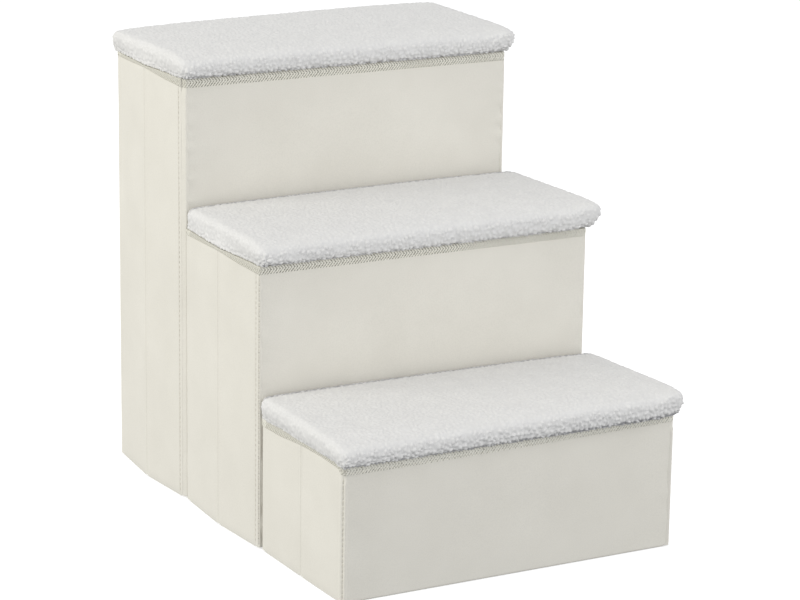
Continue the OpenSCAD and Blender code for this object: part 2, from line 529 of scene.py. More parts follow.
class BoxPlan:
    """Plan of one open box: where its panels stand and where its fabric bends."""

    def __init__(self, step: Step) -> None:
        """Works out the plan.

        Args:
            step: Which box.
        """
        self.step = step
        self.front_y = SIZES.front_y(step)
        self.back_y = SIZES.back_y(step)
        self.rim = SIZES.rim(step)
        self.corner_x = SIZES.half_w - SIZES.panel_t - SIZES.fold_gap
        half_span = SIZES.box_d / 2 - SIZES.panel_t
        arm = SIZES.panel_t + 2 * SIZES.fold_gap + SIZES.tape_proud
        self.angle = math.asin(SIZES.crease_outs[step.value] / half_span)
        rise = math.sin(self.angle)
        link = (half_span + arm * rise) / math.cos(self.angle)
        self.corner_play = SIZES.fold_gap + (SIZES.panel_t + SIZES.fold_gap) * rise
        crease_play = SIZES.fold_gap + (SIZES.panel_t + SIZES.tape_proud + SIZES.fold_gap) * rise
        self.half_length = link - self.corner_play - crease_play

    def front_wall(self) -> WallPlace:
        """Place of the front panel."""
        start = Vector((SIZES.front_shifts[self.step.value] - SIZES.half_w, self.front_y, 0))
        return WallPlace(start, Vector((1, 0, 0)), SIZES.box_w)

    def back_wall(self) -> WallPlace:
        """Place of the back panel."""
        return WallPlace(Vector((SIZES.half_w, self.back_y, 0)), Vector((-1, 0, 0)), SIZES.box_w)

    def side_wall(self, side: Side, half: Half) -> WallPlace:
        """Place of one half of a side panel.

        Args:
            side: Which side.
            half: The half before or behind the crease.

        Returns:
            The place, which starts at the crease or the corner, whichever comes first.
        """
        sign = side.value
        forward = half is Half.FRONT
        pivot = Vector((sign * self.corner_x,
                        self.front_y + SIZES.panel_t if forward else self.back_y - SIZES.panel_t, 0))
        away = Vector((sign * math.sin(self.angle),
                       math.cos(self.angle) * (1 if forward else -1), 0))
        outward = Vector((sign * math.cos(self.angle),
                          math.sin(self.angle) * (-1 if forward else 1), 0))
        near = pivot + outward * (SIZES.fold_gap + SIZES.panel_t) + away * self.corner_play
        far = near + away * self.half_length
        along = UP.cross(outward)
        step = self.step.value
        share = 1.0 if side is Side.LEFT else SIZES.right_share
        skins = [share * (SIZES.front_skins if forward else SIZES.rear_skins)[step],
                 share * SIZES.crease_skins[step]]
        if along.dot(away) > 0:
            return WallPlace(near, along, self.half_length, tuple(skins))
        return WallPlace(far, along, self.half_length, tuple(reversed(skins)))

    def front_body(self) -> str:
        """Body that the front panel belongs to."""
        return f"{self.step.label}_front"

    def carrier(self) -> str:
        """Body that the back panel belongs to."""
        return {Step.LOW: "mid_front", Step.MID: "tall_front", Step.TALL: "tall_back"}[self.step]

    def side_body(self, side: Side, half: Half) -> str:
        """Body of one half of a side panel."""
        return f"{self.step.label}_{side.label}_{half.value}"


class ClothStrip:
    """A strip of cloth laid along a track, with its section standing on the track's outer side."""

    def __init__(self, name: str, track: Track, section: list[tuple[float, float]],
                 cells: tuple[int, int]) -> None:
        """Lays the strip.

        Args:
            name: Name of the piece.
            track: Line in plan that it follows.
            section: Offsets outwards and heights of its section, evenly spread over its cells.
            cells: Cells along the track and across the section.
        """
        self.track = track
        self.piece = Workpiece.cloth_grid(name, *cells)
        flat = self.piece.points()
        self.run = (flat[:, 0] + 0.5) * track.length
        share = (flat[:, 1] + 0.5) * (len(section) - 1)
        points = np.array(section)
        knots = np.arange(len(section))
        self._section = np.stack([np.interp(share, knots, points[:, k]) for k in range(2)], axis=1)
        lengths = np.concatenate([[0.0], np.cumsum(np.linalg.norm(np.diff(points, axis=0), axis=1))])
        self.across = np.interp(share, knots, lengths)
        slopes = np.gradient(points, axis=0)
        slope = np.stack([np.interp(share, knots, slopes[:, k]) for k in range(2)], axis=1)
        slope /= np.linalg.norm(slope, axis=1, keepdims=True)
        self._normal = np.stack([slope[:, 1], -slope[:, 0]], axis=1)

    @property
    def height(self) -> np.ndarray:
        """Height of each vertex before its relief."""
        return self._section[:, 1]

    def lay(self, relief: np.ndarray, thickness: float,
            deeper: tuple[float, float] = (0.0, 0.0)) -> Workpiece:
        """Raises the strip by its relief and gives it its thickness.

        Args:
            relief: Rise of each vertex off the section.
            thickness: Thickness of the cloth, added inwards.
            deeper: How much deeper its inner side lies at the two ends of the track.

        Returns:
            The strip as a closed piece.
        """
        xy, out = self.track.at(self.run)
        offset = self._section[:, 0] + self._normal[:, 0] * relief
        inner = np.clip(self._section[:, 0] / min(-1e-9, self._section[:, 0].min()), 0, 1)
        offset = offset - inner * np.interp(self.run, (0, self.track.length), deeper)
        z = self._section[:, 1] + self._normal[:, 1] * relief
        self.piece.move_points(np.column_stack([xy + out * offset[:, None], z]))
        self.piece.apply("SOLIDIFY", thickness=thickness, offset=-1.0)
        self.piece.smooth(60.0)
        return self.piece


@dataclass(frozen=True)
class RimLine:
    """How the soft rim of one box leaves its straight line; a side's values run from front to rear."""

    step: Step
    rises: tuple[float, ...] = (0.0,)
    narrows: tuple[float, ...] = (0.0,)
    hangs: tuple[float, ...] = (2.6 * MM,)
    front_hang: float = 2.6 * MM
    right_rise: float = 0.0
    right_from: float = -130 * MM
    right_reach: float = 330 * MM
    corner: tuple[float, float] = (1 * MM, 12 * MM)
    width: float = 10 * MM

    def _back_share(self, co: np.ndarray) -> np.ndarray:
        """Share of the box's depth behind its front at places."""
        return np.clip((co[:, 1] - SIZES.front_y(self.step)) / SIZES.box_d, 0, 1)

    def _along(self, values: tuple[float, ...], co: np.ndarray) -> np.ndarray:
        """Reads a side's values at places."""
        return np.interp(self._back_share(co), np.linspace(0, 1, len(values)), values)

    def _on_side(self, co: np.ndarray, reach: np.ndarray) -> np.ndarray:
        """Tells the side panels from the wide panels.

        Args:
            co: Places, one row each.
            reach: How far outwards each lies.

        Returns:
            A share from 0 on the wide panels to 1 on the side panels.
        """
        past = co[:, 1] - SIZES.front_y(self.step)
        outward = smooth_step(reach, SIZES.half_w - self.corner[1], SIZES.half_w - self.corner[0])
        return outward * smooth_step(past, *self.corner)

    def wall(self, co: np.ndarray) -> np.ndarray:
        """How far from the middle the side panels stand at places, with their creases standing out."""
        standing = 1 - np.abs(2 * self._back_share(co) - 1)
        return SIZES.half_w + SIZES.crease_outs[self.step.value] * standing

    def rise(self, co: np.ndarray) -> np.ndarray:
        """How much higher than the board the sewn edge stands.

        Args:
            co: Places, one row each.

        Returns:
            The rise at each place.
        """
        ahead = 1 - self._back_share(co)
        right = np.clip((co[:, 0] - self.right_from) / self.right_reach, 0, 1) ** 1.5 * ahead
        return self._on_side(co, -co[:, 0]) * self._along(self.rises, co) + self.right_rise * right

    def narrow(self, co: np.ndarray) -> np.ndarray:
        """How much narrower than on the front the tape is at places."""
        return self._on_side(co, np.abs(co[:, 0])) * self._along(self.narrows, co)

    def hang(self, co: np.ndarray) -> np.ndarray:
        """How far the pile hangs below the sewn edge at places."""
        left = smooth_step(-co[:, 0], SIZES.half_w - 1 * MM, SIZES.half_w + 3 * MM)
        return self.front_hang * (1 - left) + left * self._along(self.hangs, co)

    def settle(self, piece: Workpiece) -> None:
        """Gives a piece of tape or its stitches the line of the rim.

        Args:
            piece: Piece made along the straight rim, changed here.
        """
        co = piece.points()
        share = np.clip((SIZES.rim(self.step) - co[:, 2]) / self.width, 0, 1)
        co[:, 2] += self.rise(co) + self.narrow(co) * share
        piece.move_points(co)


RIM_LINES = {
    Step.LOW: RimLine(Step.LOW, rises=(3.5 * MM, 3.5 * MM, 3.5 * MM, 3 * MM, 2 * MM),
                      narrows=(1.5 * MM, 4 * MM, 3.5 * MM, 0.0, 0.5 * MM),
                      hangs=(0.0, 0.0, 0.7 * MM, 0.0, 2.5 * MM), right_rise=4 * MM, width=9 * MM),
    Step.MID: RimLine(Step.MID, narrows=(0.0, 2 * MM, 6.2 * MM, 4.5 * MM, 3 * MM),
                      hangs=(5 * MM, 3.2 * MM, 2.4 * MM, 1 * MM, -0.5 * MM), width=9 * MM),
    Step.TALL: RimLine(Step.TALL, narrows=(0.0, 3 * MM, 8 * MM, 6 * MM, 5 * MM),
                       hangs=(4.7 * MM, 4.2 * MM, 4.2 * MM, 0.5 * MM, -0.5 * MM)),
}


@dataclass(frozen=True)
class PanelCut:
    """How one padded wall panel is cut, on the bench along X with its outer face at Y = 0."""

    length: float
    height: float
    bow: float
    edge_r: float
    seed: float
    puckers: tuple[float, float] = (0.0, 0.0)
    skins: tuple[float, float] = (0.0, 0.0)
    thickness: float = SIZES.panel_t
    cell: float = 9 * MM
    pucker_cell: float = 3.2 * MM
    pucker_reach: float = 14 * MM
    pucker_cuts: int = 5
    pucker_size: float = 11 * MM
    pucker_sink: float = 0.7 * MM
    unevenness: float = 0.25 * MM
    drift_sizes: tuple[float, float] = (70 * MM, 28 * MM)
    calm_rim: tuple[float, float] = (10 * MM, 26 * MM)
    calm_foot: float = 12 * MM
    rim_clearance: float = 0.5 * MM

    def build(self, name: str) -> Workpiece:
        """Models the panel: a beveled board shape, cut into cells, swelled and wrinkled.

        Args:
            name: Name of the piece.

        Returns:
            The panel on the bench.
        """
        top = self.height - self.rim_clearance
        piece = Workpiece.block(name, Vector((0, 0, 0)), Vector((self.length, self.thickness, top)))
        piece.pick_edges(lambda a, b: max(a.z, b.z) < TINY and abs(a.y - b.y) > TINY)
        piece.bevel(SIZES.foot_r, 4)
        piece.pick_edges(lambda a, b: abs(a.y - b.y) < TINY)
        piece.bevel(self.edge_r, 3)
        piece.leave_edit()
        piece.slice_at(self._cuts_along(), 0)
        rows = max(2, round(top / (self.pucker_cell if max(self.puckers) > 0 else self.cell)))
        piece.slice_at([top * k / rows for k in range(1, rows)], 2)
        self._swell(piece, top)
        piece.smooth(40.0)
        return piece

    def _cuts_along(self) -> list[float]:
        """Says where to cut the panel across, closer together beside a puckered seam.

        Returns:
            The places along the panel, in order.
        """
        near = [self.pucker_reach / self.pucker_cuts * k for k in range(1, self.pucker_cuts + 1)]
        places = [x for x in near if self.puckers[0] > 0]
        places += [self.length - x for x in near if self.puckers[1] > 0]
        count = max(2, round(self.length / self.cell))
        return sorted(places + [self.length * k / count for k in range(1, count)])

    def _swell(self, piece: Workpiece, top: float) -> None:
        """Bows the outer face, and wrinkles it beside its seams.

        Args:
            piece: The cut panel, changed here.
            top: Height of its upper edge.
        """
        co = piece.points()
        x, z = co[:, 0], co[:, 2]
        outer = 1.0 - np.clip(co[:, 1] / self.thickness, 0, 1)
        dome = (1 - (2 * x / self.length - 1) ** 2) * (1 - (2 * z / top - 1) ** 4)
        calm = smooth_step(top - z, *self.calm_rim) * smooth_step(z, 0.0, self.calm_foot)
        flat = np.column_stack([x, np.zeros_like(x), z])
        wide, fine = [wander(flat, size, self.seed + 5 * k) for k, size in enumerate(self.drift_sizes)]
        swell = self.bow * dome + self.unevenness * (wide + 0.5 * fine) * calm
        for depth, distance in zip(self.puckers, (x, self.length - x)):
            if depth > 0:
                stretched = np.column_stack([x * 0.35, x * 0, z])
                ripple = wander(stretched, self.pucker_size, self.seed + 9)
                fold = depth * ripple * np.exp(-distance / (self.pucker_reach * 0.55)) * calm
                swell += np.maximum(fold, -self.pucker_sink)
        swell += self.skins[0] + (self.skins[1] - self.skins[0]) * x / self.length
        co[:, 1] -= swell * outer
        piece.move_points(co)


@dataclass(frozen=True)
class TapeCut:
    """Binding tape sewn over a rim: an open chevron weave with a row of stitches near its edge."""

    width: float = 10 * MM
    calm: float = 0.0
    # Painted lighting: raised for painted light, lowered for painted shade, over the whole weave.
    tone: float = 0.0
    proud: float = 0.55 * MM
    relief: float = 0.4 * MM
    thickness: float = 0.35 * MM
    fold: float = 0.8 * MM
    cell: float = 0.55 * MM
    pitch: float = 3.45 * MM
    slant: float = 0.85
    spine: float = 0.58
    slub_size: float = 2.4 * MM
    weights: tuple[float, float, float] = (0.38, 0.14, 0.25)
    stitch_pitch: float = 6.6 * MM
    stitch_line: float = 2.0 * MM
    hole_r: float = 1.2 * MM
    hole_depth: float = 0.35 * MM
    hole_shade: float = 0.5
    top_play: float = 0.15 * MM
    outer_rows: int = 16
    inner_rows: int = 4

    def _top(self, rim: float) -> float:
        """Height of the middle of the tape's fold over a rim."""
        return rim + self.top_play - self.relief / 2

    def section(self, rim: float, depth: float) -> list[tuple[float, float]]:
        """Section of the tape over a rim: its outer band, its fold and its inner band.

        Args:
            rim: Height of the rim.
            depth: Thickness of what it is folded over.

        Returns:
            Offsets and heights, from the outer band's lower edge.
        """
        top = self._top(rim)
        band = self.width - self.fold
        outer = [(self.proud, top - self.width + k * band / self.outer_rows)
                 for k in range(self.outer_rows + 1)]
        outer[0] = (self.proud - self.thickness, outer[0][1])
        crown = [(self.proud - self.fold, top), (-depth / 2, top), (self.fold - depth, top)]
        inner = [(-depth, top - self.fold - k * band / self.inner_rows)
                 for k in range(self.inner_rows + 1)]
        return outer + crown + inner

    def chevron(self, run: np.ndarray, rise: np.ndarray) -> np.ndarray:
        """Height of the weave, from 0 to 1.

        Args:
            run: Distance along the tape.
            rise: Distance from its lower edge.

        Returns:
            One value a place.
        """
        slant = np.abs(rise - self.width * self.spine) * self.slant
        rib = np.cos(2 * math.pi * (run + slant) / self.pitch)
        weft = np.cos(2 * math.pi * rise / (self.pitch * 0.6))
        slub = wander(np.column_stack([run, rise, run * 0]), self.slub_size, 17.0)
        weave = sum(weight * part for weight, part in zip(self.weights, (rib, weft, slub)))
        # The painted lighting shifts every value of the weave, lighter where raised and darker where lowered.
        return np.clip(0.5 + (1 - self.calm) * weave + self.tone, 0, 1)

    def holes(self, run: np.ndarray, rise: np.ndarray) -> np.ndarray:
        """How deep in a stitch hole each place lies, from 0 to 1."""
        along = run % self.stitch_pitch - self.stitch_pitch / 2
        return np.exp(-((along / self.hole_r) ** 2 + ((rise - self.stitch_line) / self.hole_r) ** 2))

    def build(self, name: str, track: Track, rim: float, depth: float,
              deeper: tuple[float, float] = (0.0, 0.0)) -> Workpiece:
        """Lays one length of tape over a rim.

        Args:
            name: Name of the piece.
            track: Line of the outer face that it follows.
            rim: Height of the rim.
            depth: Thickness of what it is folded over.
            deeper: How much thicker that is at the two ends.

        Returns:
            The tape, with its weave and the painted shade of its stitch holes marked.
        """
        section = self.section(rim, depth)
        cells = (max(4, round(track.length / self.cell)), len(section) - 1)
        strip = ClothStrip(name, track, section, cells)
        weave = self.chevron(strip.run, strip.across)
        hole = self.holes(strip.run, strip.across)
        edge = smooth_step(strip.across, 0.0, self.fold)
        relief = (self.relief * (weave - 0.5) - self.hole_depth * hole) * edge
        strip.piece.mark("weave", weave)
        # Painted shade in the stitch holes, beside their real pits.
        strip.piece.mark("stitch", self.hole_shade * (1 - 0.7 * self.calm) * hole)
        return strip.lay(relief, self.thickness, deeper)

    def seam(self, track: Track, rim: float) -> Seam:
        """Places the thread stitches between the holes.

        Args:
            track: Line that the tape follows.
            rim: Height of the rim.

        Returns:
            The stitches.
        """
        height = self._top(rim) - self.width + self.stitch_line
        proud = self.proud + self.relief * 0.35
        count = int((track.length - self.stitch_pitch) / self.stitch_pitch)
        runs = self.stitch_pitch * (1.0 + np.arange(count))
        xy, out = track.at(runs)
        ahead, _ = track.at(runs + 0.5 * MM)
        found = []
        for here, outward, there in zip(xy, out, ahead):
            middle = Vector((*(here + outward * proud), height))
            along = Vector((*(there - here), 0)).normalized()
            found.append((middle, along, Vector((*outward, 0))))
        return found


@dataclass(frozen=True)
class WebCut:
    """The sewn web round one front corner of a box."""

    flank: tuple[float, float]
    bend: tuple[float, float]
    face: float
    corner_r: float
    puff: float
    seams: tuple[float, ...]
    hole_share: float = 1.0
    welt: float = 0.0
    welt_past: float = 2.6 * MM
    welt_r: float = 1.5 * MM
    edge_proud: float = 0.25 * MM
    thickness: float = 0.7 * MM
    cell: tuple[float, float] = (0.7 * MM, 1.2 * MM)
    foot_gap: float = 1.5 * MM
    rim_gap: float = 2.5 * MM
    pressed: tuple[float, float] = (18 * MM, 10 * MM)
    wrinkle_size: float = 6 * MM
    tail: float = 3 * MM
    tail_sink: float = 0.5 * MM
    stitch_pitch: float = 5.6 * MM
    stitch_clearance: float = 12 * MM
    stitch_sink: float = 0.15 * MM
    hole_r: float = 0.9 * MM
    hole_depth: float = 0.5 * MM
    groove_r: float = 0.8 * MM
    groove_depth: float = 0.6 * MM
    groove_shade: float = 0.42

    def track(self, plan: BoxPlan, side: Side) -> Track:
        """Line round the corner, from the left side to the front, or from the front to the right side.

        Args:
            plan: Plan of the box.
            side: Which corner.

        Returns:
            The line of the outer faces.
        """
        share = side.value * (1.0 if side is Side.LEFT else SIZES.right_share)
        middle, front = side.value * SIZES.half_w, plan.front_y
        shift = SIZES.front_shifts[plan.step.value]
        flank = Vector((middle + share * self.flank[0], front + self.flank[1]))
        corner = Vector((middle + shift + share * self.bend[0], front + self.bend[1]))
        face = Vector((middle + shift - side.value * self.face, front))
        ends = (flank, face) if side is Side.LEFT else (face, flank)
        return Track.round_corner(ends[0], corner, ends[1], self.corner_r)

    def _holes(self, run: np.ndarray, height: np.ndarray) -> np.ndarray:
        """How deep in a stitch hole each place lies, from 0 to 1.

        Args:
            run: Distance of each place from the flank.
            height: Height of each place.

        Returns:
            One value a place.
        """
        up = (height + self.stitch_pitch / 2) % self.stitch_pitch - self.stitch_pitch / 2
        rows = [np.exp(-(((run - seam) / self.hole_r) ** 2 + (up / self.hole_r) ** 2))
                for seam in self.seams]
        return np.max(rows, axis=0)

    def build(self, name: str, plan: BoxPlan, side: Side) -> Workpiece:
        """Lays the web round its corner.

        Args:
            name: Name of the piece.
            plan: Plan of the box.
            side: Which corner.

        Returns:
            The web, with the painted shade of its stitch holes and seam grooves marked.
        """
        track = self.track(plan, side)
        low, high = self.foot_gap, plan.rim - self.rim_gap
        cells = (max(10, round(track.length / self.cell[0])), round((high - low) / self.cell[1]))
        strip = ClothStrip(name, track, [(0.0, low), (0.0, high)], cells)
        run = strip.run if side is Side.LEFT else track.length - strip.run
        arch = np.sin(math.pi * (run / track.length))
        hole = self._holes(run, strip.height)
        groove = np.minimum(sum(np.exp(-((run - seam) / self.groove_r) ** 2) for seam in self.seams), 1.0)
        flat = np.column_stack([run * 0.6, run * 0, strip.height])
        wrinkle = wander(flat, self.wrinkle_size, 3.0 + plan.step.value) * arch
        # The tape presses the web's upper end flat.
        free = 1.0 - smooth_step(strip.height, *[plan.rim - reach for reach in self.pressed])
        swell = self.puff * (np.clip(arch, 0, 1) ** 0.7 + 0.3 * wrinkle)
        sink = self.tail_sink * smooth_step(run, track.length - self.tail, track.length)
        ridge = self.welt * np.exp(-((run - self.seams[0] - self.welt_past) / self.welt_r) ** 2)
        relief = (self.edge_proud - sink + free * (swell + ridge) - self.groove_depth * groove * free
                  - self.hole_depth * hole)
        # Painted shade in the stitch holes and along the seam grooves.
        strip.piece.mark("stitch", np.maximum(self.hole_share * hole, self.groove_shade * groove))
        return strip.lay(relief, self.thickness)

    def seam_stitches(self, plan: BoxPlan, side: Side) -> Seam:
        """Places the thread stitches of its seams.

        Args:
            plan: Plan of the box.
            side: Which corner.

        Returns:
            The stitches.
        """
        track = self.track(plan, side)
        found = []
        for seam in self.seams:
            run = seam if side is Side.LEFT else track.length - seam
            xy, out = track.at(np.array([run]))
            puff = self.puff * math.sin(math.pi * seam / track.length) ** 0.7
            place = xy[0] + out[0] * (self.edge_proud + puff - self.stitch_sink)
            height = 1.5 * self.stitch_pitch
            while height < plan.rim - self.stitch_clearance:
                found.append((Vector((*place, height)), UP, Vector((*out[0], 0))))
                height += self.stitch_pitch
        return found


WEB_CUTS = {
    Step.LOW: WebCut(flank=(0.15 * MM, 8.5 * MM), bend=(0.2 * MM, 0.0), face=6.5 * MM,
                     corner_r=6.0 * MM, puff=0.6 * MM, seams=(6.9 * MM,), hole_share=0.7, welt=1.1 * MM),
    Step.MID: WebCut(flank=(2.9 * MM, 9.0 * MM), bend=(0.4 * MM, 0.2 * MM), face=2.4 * MM,
                     corner_r=1.2 * MM, puff=0.4 * MM, seams=(1.5 * MM, 7.4 * MM)),
    Step.TALL: WebCut(flank=(4.1 * MM, 12.5 * MM), bend=(0.0, 0.0), face=2.4 * MM,
                      corner_r=1.4 * MM, puff=0.6 * MM, seams=(1.5 * MM,)),
}


@dataclass(frozen=True)
class Stitching:
    """One thread stitch, modelled once and copied along a seam."""

    half_length: float = 1.7 * MM
    radius: float = 0.38 * MM
    flatness: float = 0.8
    taper: float = 0.25

    def build(self, name: str, places: Seam) -> Workpiece:
        """Copies the stitch to every place of a seam.

        Args:
            name: Name of the piece.
            places: Middle, direction and normal of each stitch.

        Returns:
            The row of stitches as one piece.
        """
        deselect_all()
        bpy.ops.mesh.primitive_uv_sphere_add(segments=6, ring_count=5, radius=1.0)
        seed = bpy.context.object
        points = [v.co.copy() for v in seed.data.vertices]
        faces = [tuple(f.vertices) for f in seed.data.polygons]
        bpy.data.objects.remove(seed)
        verts, polys = [], []
        for middle, along, normal in places:
            across = normal.cross(along)
            base = len(verts)
            for p in points:
                thick = self.radius * self.flatness * (1.0 - self.taper * p.z * p.z)
                verts.append(middle + along * (p.z * self.half_length)
                             + across * (p.x * self.radius) + normal * (p.y * thick))
            polys += [tuple(base + i for i in face) for face in faces]
        mesh = bpy.data.meshes.new(name)
        mesh.from_pydata(verts, [], polys)
        obj = bpy.data.objects.new(name, mesh)
        bpy.context.scene.collection.objects.link(obj)
        piece = Workpiece(obj)
        piece.turn_outwards()
        piece.smooth(60.0)
        return piece


@dataclass(frozen=True)
class FoldCut:
    """Cover fabric that bends round a crease or a rear corner."""

    reach: float
    radius: float
    cell_up: float
    groove: float = 0.0
    groove_r: float = 0.9 * MM
    groove_shade: float = 0.42
    proud: float = 0.25 * MM
    drift: float = 0.2 * MM
    drift_size: float = 30 * MM
    thickness: float = 0.8 * MM
    cell_along: float = 0.6 * MM
    end_gap: float = 1.5 * MM
    stitch_pitch: float = 5.5 * MM

    def build(self, name: str, track: Track, rim: float, seed: float) -> Workpiece:
        """Lays the fabric round the bend.

        Args:
            name: Name of the piece.
            track: Line of the outer faces round the bend.
            rim: Height of the rim.
            seed: Shift of its wrinkles.

        Returns:
            The strip.
        """
        low, high = self.end_gap, rim - self.end_gap
        cells = (max(12, round(track.length / self.cell_along)), round((high - low) / self.cell_up))
        strip = ClothStrip(name, track, [(0.0, low), (0.0, high)], cells)
        arch = np.clip(np.sin(math.pi * (strip.run / track.length)), 0, 1)
        flat = np.column_stack([strip.run, strip.run * 0, strip.height])
        drift = wander(flat, self.drift_size, seed)
        line = np.exp(-((strip.run - track.length / 2) / self.groove_r) ** 2)
        relief = self.proud * (arch ** 0.5 - 0.4) + self.drift * drift * arch - self.groove * line
        up = np.cos(2 * math.pi * strip.height / self.stitch_pitch)
        # Painted shade: a dark line down the crease groove, faintly dotted along its height.
        strip.piece.mark("stitch", (self.groove_shade + 0.04 * up) * line * (self.groove > 0))
        return strip.lay(relief, self.thickness)


@dataclass
class StepBox:
    """One fabric box: padded panels, sewn webs and bends, taped rim and its floor cloth."""

    step: Step
    finishes: Finishes
    stitches: Stitching = Stitching()
    crease: FoldCut = FoldCut(reach=4.0 * MM, radius=2.0 * MM, cell_up=1.4 * MM, groove=0.7 * MM)
    rear: FoldCut = FoldCut(reach=6.0 * MM, radius=4.0 * MM, cell_up=4.0 * MM)
    panel_ends: tuple[float, float, float] = (3.5 * MM, 0.3 * MM, 0.3 * MM)
    puckers: tuple[float, float, float] = (0.7 * MM, 1.4 * MM, 3.2 * MM)
    # Painted light: the low box's tape is lighter, against the shadow of its lid.
    tape_tones: tuple[float, float, float] = (0.14, 0.0, 0.0)
    front_bow: float = 1.2 * MM
    back_bow: float = 0.4 * MM
    side_bow: float = 0.35 * MM
    wide_edge_r: float = 2.0 * MM
    side_edge_r: float = 1.0 * MM
    crease_play: float = 0.25 * MM
    rear_play: float = 0.2 * MM
    fewest_stitches: int = 4
    cloth_cells: tuple[int, int] = (78, 34)
    cloth_slack: float = 0.4 * MM
    cloth_wave: float = 45 * MM
    cloth_hem: float = 0.08
    wide_seed: float = 11.0
    side_seed: float = 31.0
    crease_seed: float = 51.0
    rear_seed: float = 61.0
    cloth_seed: float = 71.0

    def __post_init__(self) -> None:
        """Works out the plan of the box and cuts its tape."""
        self.plan = BoxPlan(self.step)
        self.label = self.step.label
        self.rim_line = RIM_LINES[self.step]
        self.tape = TapeCut(self.rim_line.width, tone=self.tape_tones[self.step.value])
        # Painted shade: the side tapes are darker, for the shade under the lids' overhang.
        self.side_tape = TapeCut(self.rim_line.width, calm=0.75, tone=-0.15)
        self.made: list[bpy.types.Object] = []

    def build(self) -> list[bpy.types.Object]:
        """Builds, dresses and hangs every piece of the box.

        Returns:
            The pieces.
        """
        self._front_and_back()
        for side in Side:
            for half in Half:
                self._side_panel(side, half)
            self._web(side)
            self._crease_bend(side)
            self._rear_bend(side)
        self._floor_cloth()
        return self.made

    def _keep(self, piece: Workpiece, slot: Slot, hang: Hanger) -> None:
        """Dresses a piece and joins it to what it moves with.

        Args:
            piece: The finished piece.
            slot: Its finish.
            hang: Joins it to its body, or bakes its place into its mesh.
        """
        piece.dress(slot, self.finishes)
        hang(piece.obj)
        self.made.append(piece.obj)

    def _ride(self, body: str) -> Hanger:
        """Makes a piece move with one body."""
        return lambda obj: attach(obj, body)

    def _bend(self, first: str, second: str, track: Track) -> Hanger:
        """Bakes a piece's place into its mesh, without joining it to a body or bending it.

        Args:
            first: Body at the start of the track; not used.
            second: Body at its end; not used.
            track: Line that the piece follows; not used.

        Returns:
            What bakes the piece in place.
        """
        return lambda obj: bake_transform(obj)

    def _press(self, body: str) -> Hanger:
        """Makes a side's cover move with one body, with a mesh of its own.

        Args:
            body: The body.

        Returns:
            What hangs one piece of the cover.
        """

        def hang(obj: bpy.types.Object) -> None:
            """Hangs one piece of the cover."""
            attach(obj, body)
            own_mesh(obj)

        return hang

    def _panel(self, name: str, wall: WallPlace, cut: PanelCut, hang: Hanger) -> None:
        """Makes one padded panel with its tape and its stitches.

        Args:
            name: Start of the pieces' names.
            wall: Where the panel stands.
            cut: How it is cut.
            hang: Joins its pieces to their body.
        """
        inset = (wall.length - cut.length) / 2
        panel = cut.build(f"{name}_panel")
        panel.place(wall.matrix @ Matrix.Translation(Vector((inset, 0, 0))))
        self._keep(panel, Slot.COVER, hang)
        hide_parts(f"{name}_cover")
        self._taped(name, wall.track(inset, wall.length - inset), hang, wall.skins)

    def _taped(self, name: str, track: Track, hang: Hanger,
               deeper: tuple[float, float] = (0.0, 0.0)) -> None:
        """Sews binding tape along a track of the rim, looser woven on the wide panels.

        Args:
            name: Start of the pieces' names.
            track: Line of the outer face below the tape.
            hang: Joins the tape and its stitches to what they move with.
            deeper: How much thicker than a panel the wall is at the two ends.
        """
        cut = self.tape if abs(track.outward[0][1]) > 0.9 else self.side_tape
        tape = cut.build(f"{name}_tape", track, self.plan.rim, SIZES.panel_t, deeper)
        self.rim_line.settle(tape)
        self._keep(tape, Slot.TAPE, hang)
        places = cut.seam(track, self.plan.rim)
        if len(places) >= self.fewest_stitches:
            stitches = self.stitches.build(f"{name}_rim_stitches", places)
            self.rim_line.settle(stitches)
            self._keep(stitches, Slot.THREAD, hang)

    def _front_and_back(self) -> None:
        """Makes the two wide panels."""
        length = SIZES.box_w - 2 * self.panel_ends[self.step.value]
        pucker = self.puckers[self.step.value]
        seed = self.wide_seed + self.step.value * 3
        front = PanelCut(length, self.plan.rim, self.front_bow, self.wide_edge_r, seed,
                         puckers=(pucker, pucker))
        back = PanelCut(length, self.plan.rim, self.back_bow, self.wide_edge_r, seed)
        self._panel(f"{self.label}_front", self.plan.front_wall(), front,
                    self._ride(self.plan.front_body()))
        self._panel(f"{self.label}_back", self.plan.back_wall(), back, self._ride(self.plan.carrier()))

    def _side_panel(self, side: Side, half: Half) -> None:
        """Makes one half of a side panel.

        Args:
            side: Which side.
            half: The half before or behind the crease.
        """
        wall = self.plan.side_wall(side, half)
        seed = self.side_seed + self.step.value * 7 + side.value + (half is Half.REAR) * 3.3
        cut = PanelCut(wall.length, self.plan.rim, self.side_bow, self.side_edge_r, seed, skins=wall.skins)
        body = self.plan.side_body(side, half)
        self._panel(f"{self.label}_{side.label}_{half.value}", wall, cut, self._press(body))

    def _ordered(self, side: Side, first: str, second: str) -> tuple[str, str]:
        """Bodies in the order in which a track on this side meets them, given as on the left."""
        return (first, second) if side is Side.LEFT else (second, first)

    def _web(self, side: Side) -> None:
        """Makes the web round a front corner, with its seam and its length of tape.

        Args:
            side: Which corner. The left web is baked in place and joined to no body; the right one moves with
                the front panel.
        """
        cut = WEB_CUTS[self.step]
        name = f"{self.label}_{side.label}_corner"
        track = cut.track(self.plan, side)
        hang = self._ride(self.plan.front_body())
        if side is Side.LEFT:
            hang = self._bend(self.plan.side_body(side, Half.FRONT), self.plan.front_body(), track)
        self._keep(cut.build(f"{name}_web", self.plan, side), Slot.COVER, hang)
        seam = self.stitches.build(f"{name}_stitches", cut.seam_stitches(self.plan, side))
        self._keep(seam, Slot.THREAD, hang)
        self._taped(name, track, hang)

